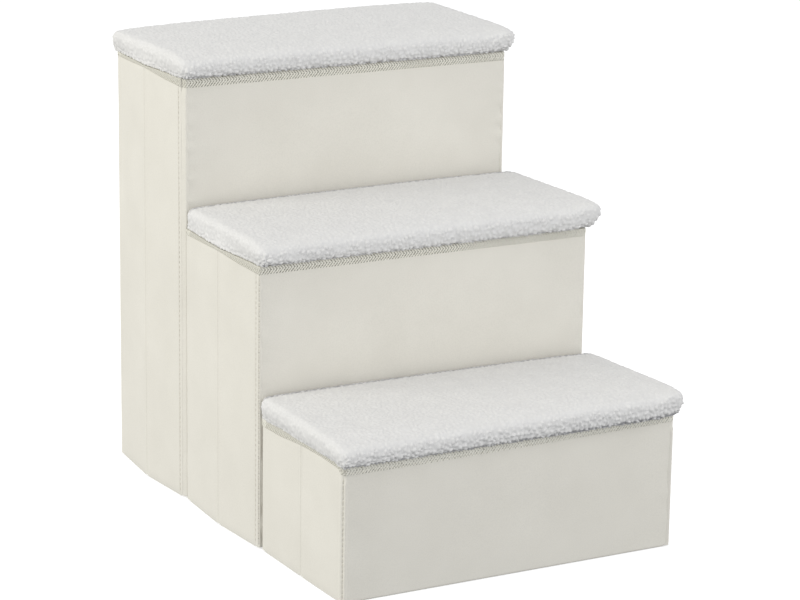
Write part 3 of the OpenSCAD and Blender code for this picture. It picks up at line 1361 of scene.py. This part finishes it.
    def _bent(self, name: str, cut: FoldCut, ends: tuple[Vector, Vector, Vector],
              bodies: tuple[str, str], seed: float) -> None:
        """Makes the fabric round a bend, with its length of tape.

        Args:
            name: Start of the pieces' names.
            cut: How the fabric is cut.
            ends: Start, corner and end of the bend in plan.
            bodies: The bodies at the start and the end.
            seed: Shift of its wrinkles.
        """
        track = Track.round_corner(*ends, cut.radius)
        hang = self._bend(*bodies, track)
        self._keep(cut.build(f"{name}_bend", track, self.plan.rim, seed), Slot.COVER, hang)
        self._taped(name, track, hang)

    def _crease_bend(self, side: Side) -> None:
        """Makes the fabric over the crease in the middle of a side.

        Args:
            side: Which side.
        """
        halves = [self.plan.side_wall(side, half) for half in (Half.REAR, Half.FRONT)]
        if side is Side.RIGHT:
            halves.reverse()
        first, second = halves
        tips = [first.face(first.length), second.face(0.0)]
        corner = (tips[0] + tips[1]) / 2 + Vector((side.value * self.crease_play, 0))
        ends = (first.face(first.length - self.crease.reach), corner, second.face(self.crease.reach))
        bodies = self._ordered(side, self.plan.side_body(side, Half.REAR),
                               self.plan.side_body(side, Half.FRONT))
        self._bent(f"{self.label}_{side.label}_crease", self.crease, ends, bodies,
                   self.crease_seed + self.step.value)

    def _rear_bend(self, side: Side) -> None:
        """Makes the fabric round a rear corner.

        Args:
            side: Which corner.
        """
        sign = side.value
        wall = self.plan.side_wall(side, Half.REAR)
        place = self.rear.reach if side is Side.LEFT else wall.length - self.rear.reach
        back = Vector((sign * (SIZES.half_w - self.rear.reach), self.plan.back_y))
        flank = wall.face(place)
        corner = Vector((flank.x - sign * self.rear_play, self.plan.back_y))
        ends = (back, corner, flank) if side is Side.LEFT else (flank, corner, back)
        bodies = self._ordered(side, self.plan.carrier(), self.plan.side_body(side, Half.REAR))
        self._bent(f"{self.label}_{side.label}_back_corner", self.rear, ends, bodies,
                   self.rear_seed + self.step.value)

    def _floor_cloth(self) -> None:
        """Makes the cloth that closes the box at the floor, a little uneven between its seams."""
        node = f"{self.label}_floor_cloth"
        low, high = (Vector(corner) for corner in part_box(node))
        piece = Workpiece.cloth_grid(f"{node}_sheet", *self.cloth_cells)
        co = piece.points()
        edge = np.minimum(0.5 - np.abs(co[:, 0]), 0.5 - np.abs(co[:, 1]))
        flat = co[:, :2] * np.array([high.x - low.x, high.y - low.y])
        flat = flat + np.array([(low.x + high.x) / 2, (low.y + high.y) / 2])
        level = np.column_stack([flat, flat[:, 0] * 0])
        drift = wander(level, self.cloth_wave, self.cloth_seed + self.step.value)
        z = high.z + self.cloth_slack * (1 + drift) * smooth_step(edge, 0.0, self.cloth_hem)
        piece.move_points(np.column_stack([flat, z]))
        piece.apply("SOLIDIFY", thickness=high.z - low.z, offset=-1.0)
        piece.smooth(60.0)
        piece.dress(Slot.LINING, self.finishes)
        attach(piece.obj, self.plan.carrier())
        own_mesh(piece.obj)
        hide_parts(node)
        self.made.append(piece.obj)


@dataclass(frozen=True)
class LidFit:
    """How one lid leaves the plain shape; corners go left front, left rear, right front, right rear."""

    eases: Corners
    lifts: Corners
    tuck: float
    lip: float = 0.0
    swell: float = 3 * MM
    rear_ease: float = 0.0
    # Share of the painted shade at the rear edge, where the lid meets the wall behind.
    rear_seam: float = 1.0


LID_FITS = {
    Step.LOW: LidFit((-4 * MM, -7 * MM, -4 * MM, -1 * MM), (0.0, 0.5 * MM, 6 * MM, -2 * MM),
                     tuck=12 * MM, lip=4 * MM),
    Step.MID: LidFit((-5 * MM, -9 * MM, 4 * MM, 3 * MM), (0.0, -1.5 * MM, 4 * MM, 1.5 * MM),
                     tuck=8 * MM),
    Step.TALL: LidFit((-3 * MM, -6 * MM, 0.0, 3.5 * MM), (0.0, -2.5 * MM, 1.5 * MM, 2.4 * MM),
                      tuck=7 * MM, swell=5 * MM, rear_ease=4 * MM, rear_seam=0.0),
}


@dataclass
class PileLid:
    """One lid in its white curly pile: a rounded cushion covered in tufts."""

    step: Step
    finishes: Finishes
    crown: float = 3 * MM
    plan_r: float = 13 * MM
    top_r: float = 8 * MM
    foot_r: float = 16 * MM
    foot_lift: float = 0.5 * MM
    foot_h: float = 4.5 * MM
    voxel: float = 1.25 * MM
    tuft: float = 4.6 * MM
    curl: float = 2.2 * MM
    sway_size: float = 9 * MM
    top_depth: float = 1.1 * MM
    edge_depth: float = 3.0 * MM
    front_gap: float = 1.2 * MM
    front_band: tuple[float, float] = (7 * MM, 12 * MM)
    rear_band: tuple[float, float] = (14 * MM, 8 * MM)
    brow_drop: float = 8.0 * MM
    brow_reach: float = 44 * MM
    firm_end: tuple[float, float] = (40 * MM, 12 * MM)
    open_front: tuple[float, float] = (14 * MM, 22 * MM)
    open_left: tuple[float, float] = (18 * MM, 28 * MM)
    squeeze: float = 0.3
    left_tuck: float = 3 * MM
    least_past: float = 1.8 * MM
    fit_heights: tuple[float, float] = (4 * MM, 16 * MM)
    facing_up: tuple[float, float] = (0.35, 0.9)
    facing_down: tuple[float, float] = (0.8, 0.97)
    facing_left: tuple[float, float] = (0.2, 0.8)
    facing_front: tuple[float, float] = (0.2, 0.7)
    left_calm: float = 0.45
    pile_level: float = 0.35
    droop_size: float = 6 * MM
    sway: float = 0.35
    border_gain: float = 2.6
    tuft_shares: tuple[float, float, float] = (0.62, 0.38, 0.3)
    curl_level: float = 0.3
    # Painted shade in the pile: darker between the tufts, a dark line along the front foot and a band at the
    # rear edge.
    parting_from: float = 0.95
    parting_gain: float = 1.35
    pile_shade: float = 0.08
    seam_shade: float = 0.64
    rear_shades: tuple[float, float] = (0.15, 0.4)

    def __post_init__(self) -> None:
        """Reads the lid's place from the frame."""
        self.node = f"{self.step.label}_lid_cover"
        self.fit = LID_FITS[self.step]
        self.line = RIM_LINES[self.step]
        low, high = (Vector(corner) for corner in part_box(self.node))
        self.low, self.high = low, high - Vector((0, 0, self.crown))

    def build(self) -> bpy.types.Object:
        """Models the lid.

        Returns:
            The pile cover.
        """
        piece = self._cushion(f"{self.step.label}_lid_pile")
        self._pile(piece)
        piece.smooth(180.0)
        piece.dress(Slot.PILE, self.finishes)
        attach(piece.obj, f"{self.step.label}_lid")
        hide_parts(self.node)
        return piece.obj

    def _cushion(self, name: str) -> Workpiece:
        """Shapes the body of the lid: round in plan, round over its top edge and under its foot.

        Args:
            name: Name of the piece.

        Returns:
            The smooth cushion, in small cells.
        """
        low = self.low + Vector((0, 0, self.foot_lift))
        high = self.high + Vector((0, self.fit.rear_ease, 0))
        piece = Workpiece.block(name, low, high)
        piece.pick_edges(lambda a, b: abs(a.z - b.z) > TINY)
        piece.bevel(self.plan_r, 12)
        piece.pick_edges(lambda a, b: min(a.z, b.z) > high.z - TINY)
        piece.bevel(self.top_r, 6)
        piece.pick_edges(lambda a, b: max(a.z, b.z) < low.z + TINY)
        piece.bevel(self.foot_r, 5)
        piece.leave_edit()
        piece.apply("REMESH", mode="VOXEL", voxel_size=self.voxel)
        # The flat middle of the underside needs no cells.
        inset = self.foot_r + 4 * MM
        piece.pick_faces(lambda c, n: n.z < -0.99 and low.x + inset < c.x < high.x - inset
                         and low.y + inset < c.y < high.y - inset)
        bpy.ops.mesh.dissolve_faces()
        piece.leave_edit()
        return piece

    def _pile(self, piece: Workpiece) -> None:
        """Gives the cushion its form, raises the tufts and marks the shade painted into the pile.

        Args:
            piece: The cushion, changed here.
        """
        co, out = piece.points(), piece.normals()
        free = 1 - smooth_step(co[:, 0], *[self.high.x - reach for reach in self.firm_end])
        self._crown_top(co, free)
        self._press_foot(co, free)
        risen = self.line.rise(co)
        outside = np.maximum(np.abs(co[:, 0]) - self.line.wall(co), SIZES.front_y(self.step) - co[:, 1])
        lowest = self._lowest(co, free, risen, outside)
        foot = 1 - smooth_step(co[:, 2] - risen, self.low.z + self.foot_lift, self.low.z + self.foot_h)
        front = 1 - smooth_step(co[:, 1], *[self.low.y + reach for reach in self.front_band])
        flat = smooth_step(out[:, 2], *self.facing_up)
        height = self._tufts(co)
        co = co + out * self._relief(out, height, flat, outside)[:, None]
        stretched = co * np.array([1.0, 0.2, 0.2])
        droop = 0.5 + 0.5 * wander(stretched, self.droop_size, 2.0 + self.step.value)
        co[:, 2] = np.maximum(co[:, 2], lowest) + self.front_gap * foot * front * droop
        piece.move_points(co)
        # Painted shade: a dark line along the front foot, and a darker band at the rear edge by the wall
        # behind.
        seam = smooth_step(-out[:, 1], *self.facing_front) * foot
        rear = smooth_step(co[:, 1], *[self.high.y - reach for reach in self.rear_band]) * flat
        piece.mark("parting", self._partings(height, seam, rear * self.fit.rear_seam))

    def _crown_top(self, co: np.ndarray, free: np.ndarray) -> None:
        """Crowns the top, lets its front edge drop and shapes the ends.

        Args:
            co: Places, changed here.
            free: Share of softness, 0 at the firm right end.
        """
        middle, half = (self.low + self.high) / 2, (self.high - self.low) / 2
        share = [(co[:, k] - middle[k]) / half[k] for k in range(2)]
        aloft = smooth_step(co[:, 2], self.low.z + 3 * MM, self.high.z)
        dome = np.clip(1 - share[0] ** 4, 0, 1) * np.clip(1 - 0.45 * share[1] ** 2, 0, 1)
        brow = np.clip(1 - (co[:, 1] - self.low.y) / self.brow_reach, 0, 1) ** 2 * (0.4 + 0.6 * free)
        co[:, 2] += aloft * (self.fit.swell * dome + self._between(self.fit.lifts, share)
                             - self.brow_drop * brow)
        self._fit_ends(co, share)

    def _press_foot(self, co: np.ndarray, free: np.ndarray) -> None:
        """Presses the round foot flat along the two sides that are in view.

        Args:
            co: Places, changed here.
            free: Share of softness, 0 at the firm right end.
        """
        front = 1 - smooth_step(co[:, 1], *[self.low.y + reach for reach in self.open_front])
        left = 1 - smooth_step(co[:, 0], *[self.low.x + reach for reach in self.open_left])
        depth = co[:, 2] - self.low.z
        near = 1 - smooth_step(depth, 0.0, self.foot_r + 2 * MM)
        drop = (1 - self.squeeze) * near * (free * np.maximum(front, left))
        co[:, 2] -= np.clip(depth, 0, None) * drop

    def _lowest(self, co: np.ndarray, free: np.ndarray, risen: np.ndarray,
                outside: np.ndarray) -> np.ndarray:
        """Says how low the pile may reach: to the rim, and a little past it outside the box.

        Args:
            co: Places, one row each.
            free: Share of softness, 0 at the firm right end.
            risen: Rise of the rim at each place.
            outside: How far outside the box each place lies.

        Returns:
            The least height at each place.
        """
        past_end = smooth_step(co[:, 0], SIZES.half_w, SIZES.half_w + 6 * MM)
        hang = self.line.hang(co) * smooth_step(outside, 0.3 * MM, 1.4 * MM) * free
        seat = self.low.z + self.foot_lift - hang
        return seat + risen * smooth_step(outside, -4.0 * MM, 0.0) + self.fit.lip * past_end

    def _relief(self, out: np.ndarray, height: np.ndarray, flat: np.ndarray,
                outside: np.ndarray) -> np.ndarray:
        """Says how far the pile stands off the cushion, shorter on top and on the left end.

        Args:
            out: Normals of the cushion.
            height: Height of the pile, from 0 to 1.
            flat: Share of the top at each place.
            outside: How far outside the box each place lies.

        Returns:
            The rise along each normal.
        """
        under = smooth_step(-out[:, 2], *self.facing_down) * (1 - smooth_step(outside, 0.0, 3.0 * MM))
        calm = 1 - self.left_calm * smooth_step(-out[:, 0], *self.facing_left)
        depth = calm * (self.edge_depth + (self.top_depth - self.edge_depth) * flat)
        return (height - self.pile_level) * depth * (1 - under)

    def _partings(self, height: np.ndarray, seam: np.ndarray, rear: np.ndarray) -> np.ndarray:
        """Paints shade into the pile: darker between the tufts, along the front foot and at the rear edge.

        Args:
            height: Height of the pile, from 0 to 1.
            seam: Share of the front foot, where a dark shadow line is painted.
            rear: Share of the rear edge, painted darker as in the shade of the wall behind.

        Returns:
            The painted shade, from 0 to 1.
        """
        low = np.clip(self.parting_gain * (self.parting_from - height), 0, 1)
        plain, parted = self.rear_shades
        mark = self.pile_shade * (1 - height) + self.seam_shade * low * seam + (plain + parted * low) * rear
        return np.clip(mark, 0, 1)

    def _fit_ends(self, co: np.ndarray, share: list[np.ndarray]) -> None:
        """Shapes the two ends: full width at the rim, eased in or out above it.

        Args:
            co: Places, changed here.
            share: The same places from -1 to 1 along X and Y.
        """
        reach, sign = np.abs(co[:, 0]), np.sign(co[:, 0])
        over = self.high.x - SIZES.half_w
        start = SIZES.half_w + over - self.foot_r
        ease = self._between(self.fit.eases, [sign, share[1]])
        wall = self.line.wall(co)
        tuck = np.where(sign > 0, self.fit.tuck, self.left_tuck)
        past = over + ease - tuck - 0.6 * (wall - SIZES.half_w)
        past = np.where(sign > 0, past, np.maximum(past, self.least_past))
        part = np.clip((reach - start) / self.foot_r, 0, 1)
        inner = np.clip((reach - start) / (20 * MM) + 1, 0, 1)
        lower = np.where(reach > start, wall + part * past, reach + inner * (wall - start))
        upper = reach + ease * np.clip(np.abs(share[0]), 0, 1)
        high = smooth_step(co[:, 2], *[self.low.z + height for height in self.fit_heights])
        co[:, 0] = sign * (lower + (upper - lower) * high)

    @staticmethod
    def _between(corners: Corners, share: list[np.ndarray]) -> np.ndarray:
        """Blends four corner values over the lid.

        Args:
            corners: Values at the left front, left rear, right front and right rear.
            share: Places from -1 to 1 along X and Y.

        Returns:
            One value a place.
        """
        across, back = [np.clip(k / 2 + 0.5, 0, 1) for k in share]
        left = corners[0] + (corners[1] - corners[0]) * back
        right = corners[2] + (corners[3] - corners[2]) * back
        return left + (right - left) * across

    def _tufts(self, co: np.ndarray) -> np.ndarray:
        """Reads the height of the pile, from 0 in the partings to 1 on the tufts.

        Args:
            co: Places, one row each.

        Returns:
            One value a place.
        """
        found = np.empty(len(co))
        seed = Vector((self.step.value * 3.1, 5.7, 1.3))
        edge, heart, curly = self.tuft_shares
        for k, p in enumerate(co):
            place = Vector(p)
            sway = noise.noise_vector(place / self.sway_size + seed) * self.sway
            near = noise.voronoi(place / self.tuft + seed + sway)[0]
            curls = noise.voronoi(place / self.curl + seed)[0]
            border = min(1.0, (near[1] - near[0]) * self.border_gain)
            found[k] = edge * border + heart * (1.0 - near[0]) - curly * (curls[0] - self.curl_level)
        return found


class TreeBench:
    """Adds nodes to one tree and joins them."""

    def __init__(self, tree: bpy.types.NodeTree) -> None:
        """Takes an empty tree.

        Args:
            tree: Node tree of a material, a group or the world.
        """
        self.tree = tree
        tree.nodes.clear()

    def _feed(self, socket: bpy.types.NodeSocket, value: object) -> None:
        """Links a socket to an input, or sets the input to a plain value.

        Args:
            socket: The input.
            value: What goes in.
        """
        if isinstance(value, bpy.types.NodeSocket):
            self.tree.links.new(value, socket)
        else:
            socket.default_value = value

    def add(self, kind: str, inputs: dict[str, object] | None = None, **settings: object) -> bpy.types.Node:
        """Adds a node.

        Args:
            kind: Type of the node.
            inputs: Values or sockets for its inputs, by name or number.
            settings: Its properties by name.

        Returns:
            The node.
        """
        node = self.tree.nodes.new(kind)
        for name, value in settings.items():
            setattr(node, name, value)
        for name, value in (inputs or {}).items():
            self._feed(node.inputs[name], value)
        return node

    def ranged(self, value: bpy.types.NodeSocket, source: tuple[float, float],
               target: tuple[float, float] = (0.0, 1.0)) -> bpy.types.NodeSocket:
        """Maps one range of a value onto another, held at its ends.

        Args:
            value: The value.
            source: Its range.
            target: What that range becomes.

        Returns:
            The mapped value.
        """
        node = self.add("ShaderNodeMapRange", {"Value": value, 1: source[0], 2: source[1],
                                               3: target[0], 4: target[1]})
        return node.outputs[0]

    def mixed(self, share: bpy.types.NodeSocket, first: object, second: object) -> bpy.types.NodeSocket:
        """Mixes two colours.

        Args:
            share: Share of the second.
            first: The first, as a value or a socket.
            second: The second.

        Returns:
            The mixed colour.
        """
        node = self.add("ShaderNodeMix", data_type="RGBA")
        for index, value in ((0, share), (6, first), (7, second)):
            self._feed(node.inputs[index], value)
        return node.outputs[2]


class Effects:
    """Node groups that several finishes share, each built once."""

    @staticmethod
    def _group(name: str, sockets: list[tuple[str, str, str, float]]) -> tuple[bpy.types.NodeTree, TreeBench]:
        """Starts a group with named sockets.

        Args:
            name: Name of the group.
            sockets: Name, direction, type and default of each socket.

        Returns:
            The tree and its bench.
        """
        tree = bpy.data.node_groups.new(name, "ShaderNodeTree")
        for label, way, kind, default in sockets:
            socket = tree.interface.new_socket(label, in_out=way, socket_type=kind)
            if way == "INPUT" and kind == "NodeSocketFloat":
                socket.default_value = default
        return tree, TreeBench(tree)

    @classmethod
    def patches(cls) -> bpy.types.NodeTree:
        """Soft patches of light and dark nap, as a mask from 0 to 1.

        Returns:
            The node group.
        """
        tree, bench = cls._group("soft_patches", [
            ("Size", "INPUT", "NodeSocketFloat", 0.05), ("Spread", "INPUT", "NodeSocketFloat", 1.0),
            ("Mask", "OUTPUT", "NodeSocketFloat", 0.0)])
        given = bench.add("NodeGroupInput")
        where = bench.add("ShaderNodeTexCoord").outputs["Object"]
        rate = bench.add("ShaderNodeMath", {0: 1.0, 1: given.outputs["Size"]}, operation="DIVIDE")
        cloud = bench.add("ShaderNodeTexNoise", {"Vector": where, "Scale": rate.outputs[0],
                                                 "Detail": 3.0, "Roughness": 0.55})
        centred = bench.add("ShaderNodeMath", {0: cloud.outputs[0], 1: 0.5}, operation="SUBTRACT")
        spread = bench.add("ShaderNodeMath", {0: centred.outputs[0], 1: given.outputs["Spread"], 2: 0.5},
                           operation="MULTIPLY_ADD", use_clamp=True)
        bench.add("NodeGroupOutput", {"Mask": spread.outputs[0]})
        return tree

    @classmethod
    def nap(cls) -> bpy.types.NodeTree:
        """Fine fibre grain, as a mask and as a rough normal.

        Returns:
            The node group.
        """
        tree, bench = cls._group("fibre_grain", [
            ("Grain", "INPUT", "NodeSocketFloat", 0.001), ("Strength", "INPUT", "NodeSocketFloat", 0.3),
            ("Depth", "INPUT", "NodeSocketFloat", 0.0003),
            ("Mask", "OUTPUT", "NodeSocketFloat", 0.0), ("Normal", "OUTPUT", "NodeSocketVector", 0.0)])
        given = bench.add("NodeGroupInput")
        where = bench.add("ShaderNodeTexCoord").outputs["Object"]
        rate = bench.add("ShaderNodeMath", {0: 1.0, 1: given.outputs["Grain"]}, operation="DIVIDE")
        grain = bench.add("ShaderNodeTexNoise", {"Vector": where, "Scale": rate.outputs[0],
                                                 "Detail": 2.0, "Roughness": 0.6})
        bump = bench.add("ShaderNodeBump", {"Strength": given.outputs["Strength"],
                                            "Distance": given.outputs["Depth"], "Height": grain.outputs[0]})
        bench.add("NodeGroupOutput", {"Mask": grain.outputs[0], "Normal": bump.outputs[0]})
        return tree


@dataclass(frozen=True)
class Cloth:
    """A cloth finish: two tones in soft patches, a fibre grain, and marks read from its attributes: a weave
    pattern, and painted shade.
    """

    light: Color
    dark: Color
    patch: float
    spread: float
    grain: float
    grain_depth: float
    roughness: float = 0.95
    sheen: float = 0.0
    sheen_roughness: float = 0.5
    mark: str = ""
    mark_color: Color = (0.5, 0.5, 0.5)
    mark_low: float = 0.0
    mark_high: float = 1.0
    speckle: float = 0.1
    speckle_from: tuple[float, float] = (0.25, 0.6)
    speckle_shade: float = 0.55
    hole_color: Color = (0.0, 0.0, 0.0)
    hole_from: tuple[float, float] = (0.25, 0.8)
    holes: bool = False

    def dye(self, material: bpy.types.Material, groups: dict[str, bpy.types.NodeTree]) -> None:
        """Builds the material's nodes.

        Args:
            material: The material to fill.
            groups: The shared effects by name.
        """
        bench = TreeBench(material.node_tree)
        patches = bench.add("ShaderNodeGroup", node_tree=groups["patches"])
        patches.inputs["Size"].default_value = self.patch
        patches.inputs["Spread"].default_value = self.spread
        fibre = bench.add("ShaderNodeGroup", node_tree=groups["nap"])
        fibre.inputs["Grain"].default_value = self.grain
        fibre.inputs["Depth"].default_value = self.grain_depth
        color = bench.mixed(patches.outputs["Mask"], (*self.dark, 1), (*self.light, 1))
        speck = bench.ranged(fibre.outputs["Mask"], self.speckle_from, (self.speckle, 0.0))
        color = bench.mixed(speck, color, (*[c * self.speckle_shade for c in self.dark], 1))
        # The attribute mark is the tape's weave pattern, and painted shade in the pile's crevices.
        if self.mark:
            read = bench.add("ShaderNodeAttribute", attribute_name=self.mark)
            share = bench.ranged(read.outputs["Fac"], (self.mark_low, self.mark_high), (1.0, 0.0))
            color = bench.mixed(share, color, (*self.mark_color, 1))
        # Painted shade in stitch holes, along seam grooves and down the crease.
        if self.holes:
            read = bench.add("ShaderNodeAttribute", attribute_name="stitch")
            share = bench.ranged(read.outputs["Fac"], self.hole_from)
            color = bench.mixed(share, color, (*self.hole_color, 1))
        shader = bench.add("ShaderNodeBsdfPrincipled", {
            "Base Color": color, "Normal": fibre.outputs["Normal"], "Roughness": self.roughness,
            "Specular IOR Level": 0.2, "Sheen Weight": self.sheen, "Sheen Roughness": self.sheen_roughness})
        bench.add("ShaderNodeOutputMaterial", {"Surface": shader.outputs[0]})


RECIPES = {
    Slot.COVER: Cloth((0.80, 0.775, 0.705), (0.745, 0.72, 0.65), 60 * MM, 1.6, 1.2 * MM, 0.3 * MM,
                      sheen=0.15, speckle=0.12, holes=True, hole_color=(0.36, 0.34, 0.29)),
    Slot.TAPE: Cloth((0.90, 0.88, 0.80), (0.82, 0.80, 0.71), 14 * MM, 1.4, 0.7 * MM, 0.2 * MM,
                     roughness=0.8, mark="weave", mark_color=(0.205, 0.195, 0.155), mark_low=0.06,
                     mark_high=0.54, speckle=0.1, holes=True, hole_color=(0.05, 0.045, 0.04)),
    Slot.THREAD: Cloth((0.74, 0.71, 0.63), (0.62, 0.59, 0.51), 8 * MM, 1.5, 0.5 * MM, 0.1 * MM,
                       roughness=0.7),
    # The pile's mark colour is painted shade in its crevices, along its front foot and at its rear edge.
    Slot.PILE: Cloth((0.785, 0.778, 0.765), (0.725, 0.718, 0.71), 22 * MM, 1.4, 0.9 * MM, 0.4 * MM,
                     sheen=0.06, mark="parting", mark_color=(0.27, 0.265, 0.285), mark_low=0.8,
                     mark_high=0.02, speckle=0.04),
    Slot.LINING: Cloth((0.60, 0.585, 0.54), (0.53, 0.515, 0.47), 30 * MM, 1.2, 0.8 * MM, 0.15 * MM),
    Slot.FOAM: Cloth((0.72, 0.70, 0.60), (0.66, 0.64, 0.54), 12 * MM, 1.2, 1.5 * MM, 0.4 * MM),
    Slot.BOARD: Cloth((0.46, 0.36, 0.25), (0.38, 0.29, 0.20), 25 * MM, 1.6, 2.0 * MM, 0.1 * MM,
                      roughness=0.8),
    Slot.GRIP: Cloth((0.72, 0.71, 0.68), (0.60, 0.59, 0.56), 6 * MM, 1.4, 0.6 * MM, 0.4 * MM),
}


class Finishes:
    """The materials of the stairs, each made when it is first asked for."""

    def __init__(self) -> None:
        """Builds the shared effects."""
        self._groups = {"patches": Effects.patches(), "nap": Effects.nap()}
        self._made: dict[Slot, bpy.types.Material] = {}

    def of(self, slot: Slot) -> bpy.types.Material:
        """Gives the material of a slot.

        Args:
            slot: The slot.

        Returns:
            Its material.
        """
        if slot not in self._made:
            material = bpy.data.materials.new(slot.value)
            material.use_nodes = True
            RECIPES[slot].dye(material, self._groups)
            self._made[slot] = material
        return self._made[slot]


def dress_frame_pieces(finishes: Finishes) -> None:
    """Gives the frame's own boards, linings, foam and strips their finishes.

    Args:
        finishes: The materials.
    """
    slots = {"_lid_lining": Slot.LINING, "_lid_foam": Slot.FOAM, "_board": Slot.BOARD,
             "_strips": Slot.GRIP, "_floor_cloth": Slot.LINING, "_lid_cover": Slot.PILE, "_cover": Slot.COVER}
    for obj in bpy.data.objects:
        if "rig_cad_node" in obj:
            slot = next(found for ending, found in slots.items() if obj.name.endswith(ending))
            obj.data.materials.clear()
            obj.data.materials.append(finishes.of(slot))


@dataclass(frozen=True)
class Lamp:
    """A soft square lamp that looks at the stairs."""

    name: str
    at: Vector
    size: float
    watts: float
    color: Color
    aim: Vector = Vector((0, 0, 0.25))

    def hang(self) -> None:
        """Makes the lamp, hangs it and turns it."""
        data = bpy.data.lights.new(self.name, "AREA")
        data.size = self.size
        data.energy = self.watts
        data.color = self.color
        lamp = bpy.data.objects.new(self.name, data)
        turn = (self.aim - self.at).to_track_quat("-Z", "Y").to_matrix().to_4x4()
        lamp.matrix_world = Matrix.Translation(self.at) @ turn
        bpy.context.scene.collection.objects.link(lamp)


@dataclass(frozen=True)
class Studio:
    """A white room with a pale floor, a soft lamp on the left and one in front, and the picture's camera."""

    camera_at: Vector = Vector((-1.5583, -2.8502, 1.1089))
    yaw: float = math.radians(28.898)
    pitch: float = math.radians(15.124)
    roll: float = math.radians(0.863)
    lens: float = 136.743
    sensor: float = 36.0
    fill: float = 1.02
    sky: tuple[tuple[float, float], ...] = ((0.08, 0.1), (0.5, 1.0), (1.0, 0.56))
    sky_tint: Color = (0.97, 0.985, 1.0)
    floor_r: float = 6.0
    floor_sides: int = 96
    floor_drop: float = 0.3 * MM
    floor_glow: float = 0.5
    floor_albedo: float = 0.8
    lamps: tuple[Lamp, ...] = (
        Lamp("side_lamp", Vector((-3.2, 0.5, 1.9)), 2.2, 56.5, (1.0, 0.97, 0.88)),
        Lamp("front_lamp", Vector((1.2, -2.0, 1.9)), 1.8, 19.0, (1.0, 0.985, 0.98)))

    def build(self) -> None:
        """Sets the camera, the white surroundings, the floor and the lamps."""
        self._camera()
        self._surroundings()
        self._floor()
        for lamp in self.lamps:
            lamp.hang()

    def _camera(self) -> None:
        """Makes the camera and looks through it."""
        data = bpy.data.cameras.new("camera")
        data.lens = self.lens
        data.sensor_width = self.sensor
        camera = bpy.data.objects.new("camera", data)
        turn = Matrix.Rotation(-self.yaw, 4, "Z") @ Matrix.Rotation(math.pi / 2 - self.pitch, 4, "X")
        camera.matrix_world = Matrix.Translation(self.camera_at) @ turn @ Matrix.Rotation(self.roll, 4, "Z")
        scene = bpy.context.scene
        scene.collection.objects.link(camera)
        scene.camera = camera
        scene.view_settings.view_transform = "Standard"

    def _surroundings(self) -> None:
        """Makes the world white to the eye and softer as a light."""
        world = bpy.data.worlds.new("white_room")
        world.use_nodes = True
        bench = TreeBench(world.node_tree)
        seen = bench.add("ShaderNodeBackground", {"Color": (1, 1, 1, 1), "Strength": 1.0})
        way = bench.add("ShaderNodeSeparateXYZ", {0: bench.add("ShaderNodeTexCoord").outputs["Generated"]})
        rise = bench.ranged(way.outputs["Z"], (-1.0, 1.0))
        ramp = bench.add("ShaderNodeValToRGB", {"Fac": rise})
        elements = ramp.color_ramp.elements
        for stop, (place, level) in zip((elements[0], elements.new(0.5), elements[-1]), self.sky):
            stop.position = place
            stop.color = (*[part * level for part in self.sky_tint], 1)
        felt = bench.add("ShaderNodeBackground", {"Color": ramp.outputs["Color"], "Strength": self.fill})
        path = bench.add("ShaderNodeLightPath")
        mix = bench.add("ShaderNodeMixShader", {0: path.outputs["Is Camera Ray"], 1: felt.outputs[0],
                                                2: seen.outputs[0]})
        bench.add("ShaderNodeOutputWorld", {"Surface": mix.outputs[0]})
        bpy.context.scene.world = world

    def _floor(self) -> None:
        """Lays a plain pale floor, seen from above only, which sends no light back."""
        deselect_all()
        bpy.ops.mesh.primitive_circle_add(vertices=self.floor_sides, radius=self.floor_r, fill_type="NGON",
                                          location=(0, 0, -self.floor_drop))
        floor = bpy.context.object
        floor.name = "floor"
        material = bpy.data.materials.new("pale_floor")
        material.use_nodes = True
        bench = TreeBench(material.node_tree)
        matte = bench.add("ShaderNodeBsdfPrincipled", {
            "Base Color": (self.floor_albedo, self.floor_albedo, self.floor_albedo, 1),
            "Roughness": 1.0, "Specular IOR Level": 0.0,
            "Emission Color": (1, 1, 1, 1), "Emission Strength": self.floor_glow})
        clear = bench.add("ShaderNodeBsdfTransparent")
        path = bench.add("ShaderNodeLightPath")
        below = bench.add("ShaderNodeNewGeometry").outputs["Backfacing"]
        seen = bench.add("ShaderNodeMath", {0: path.outputs["Is Camera Ray"], 1: below},
                         operation="SUBTRACT", use_clamp=True)
        mix = bench.add("ShaderNodeMixShader", {0: seen.outputs[0], 1: clear.outputs[0],
                                                2: matte.outputs[0]})
        bench.add("ShaderNodeOutputMaterial", {"Surface": mix.outputs[0]})
        floor.data.materials.append(material)


def main() -> None:
    """Builds the stairs in order, then the studio."""
    logging.basicConfig(level=logging.INFO, format="%(message)s")
    finishes = Finishes()
    dress_frame_pieces(finishes)
    for step in Step:
        for obj in StepBox(step, finishes).build():
            log.info("%s: %d faces", obj.name, len(obj.data.polygons))
        lid = PileLid(step, finishes).build()
        log.info("%s: %d faces", lid.name, len(lid.data.polygons))
    Studio().build()


if __name__ == "__main__":
    main()
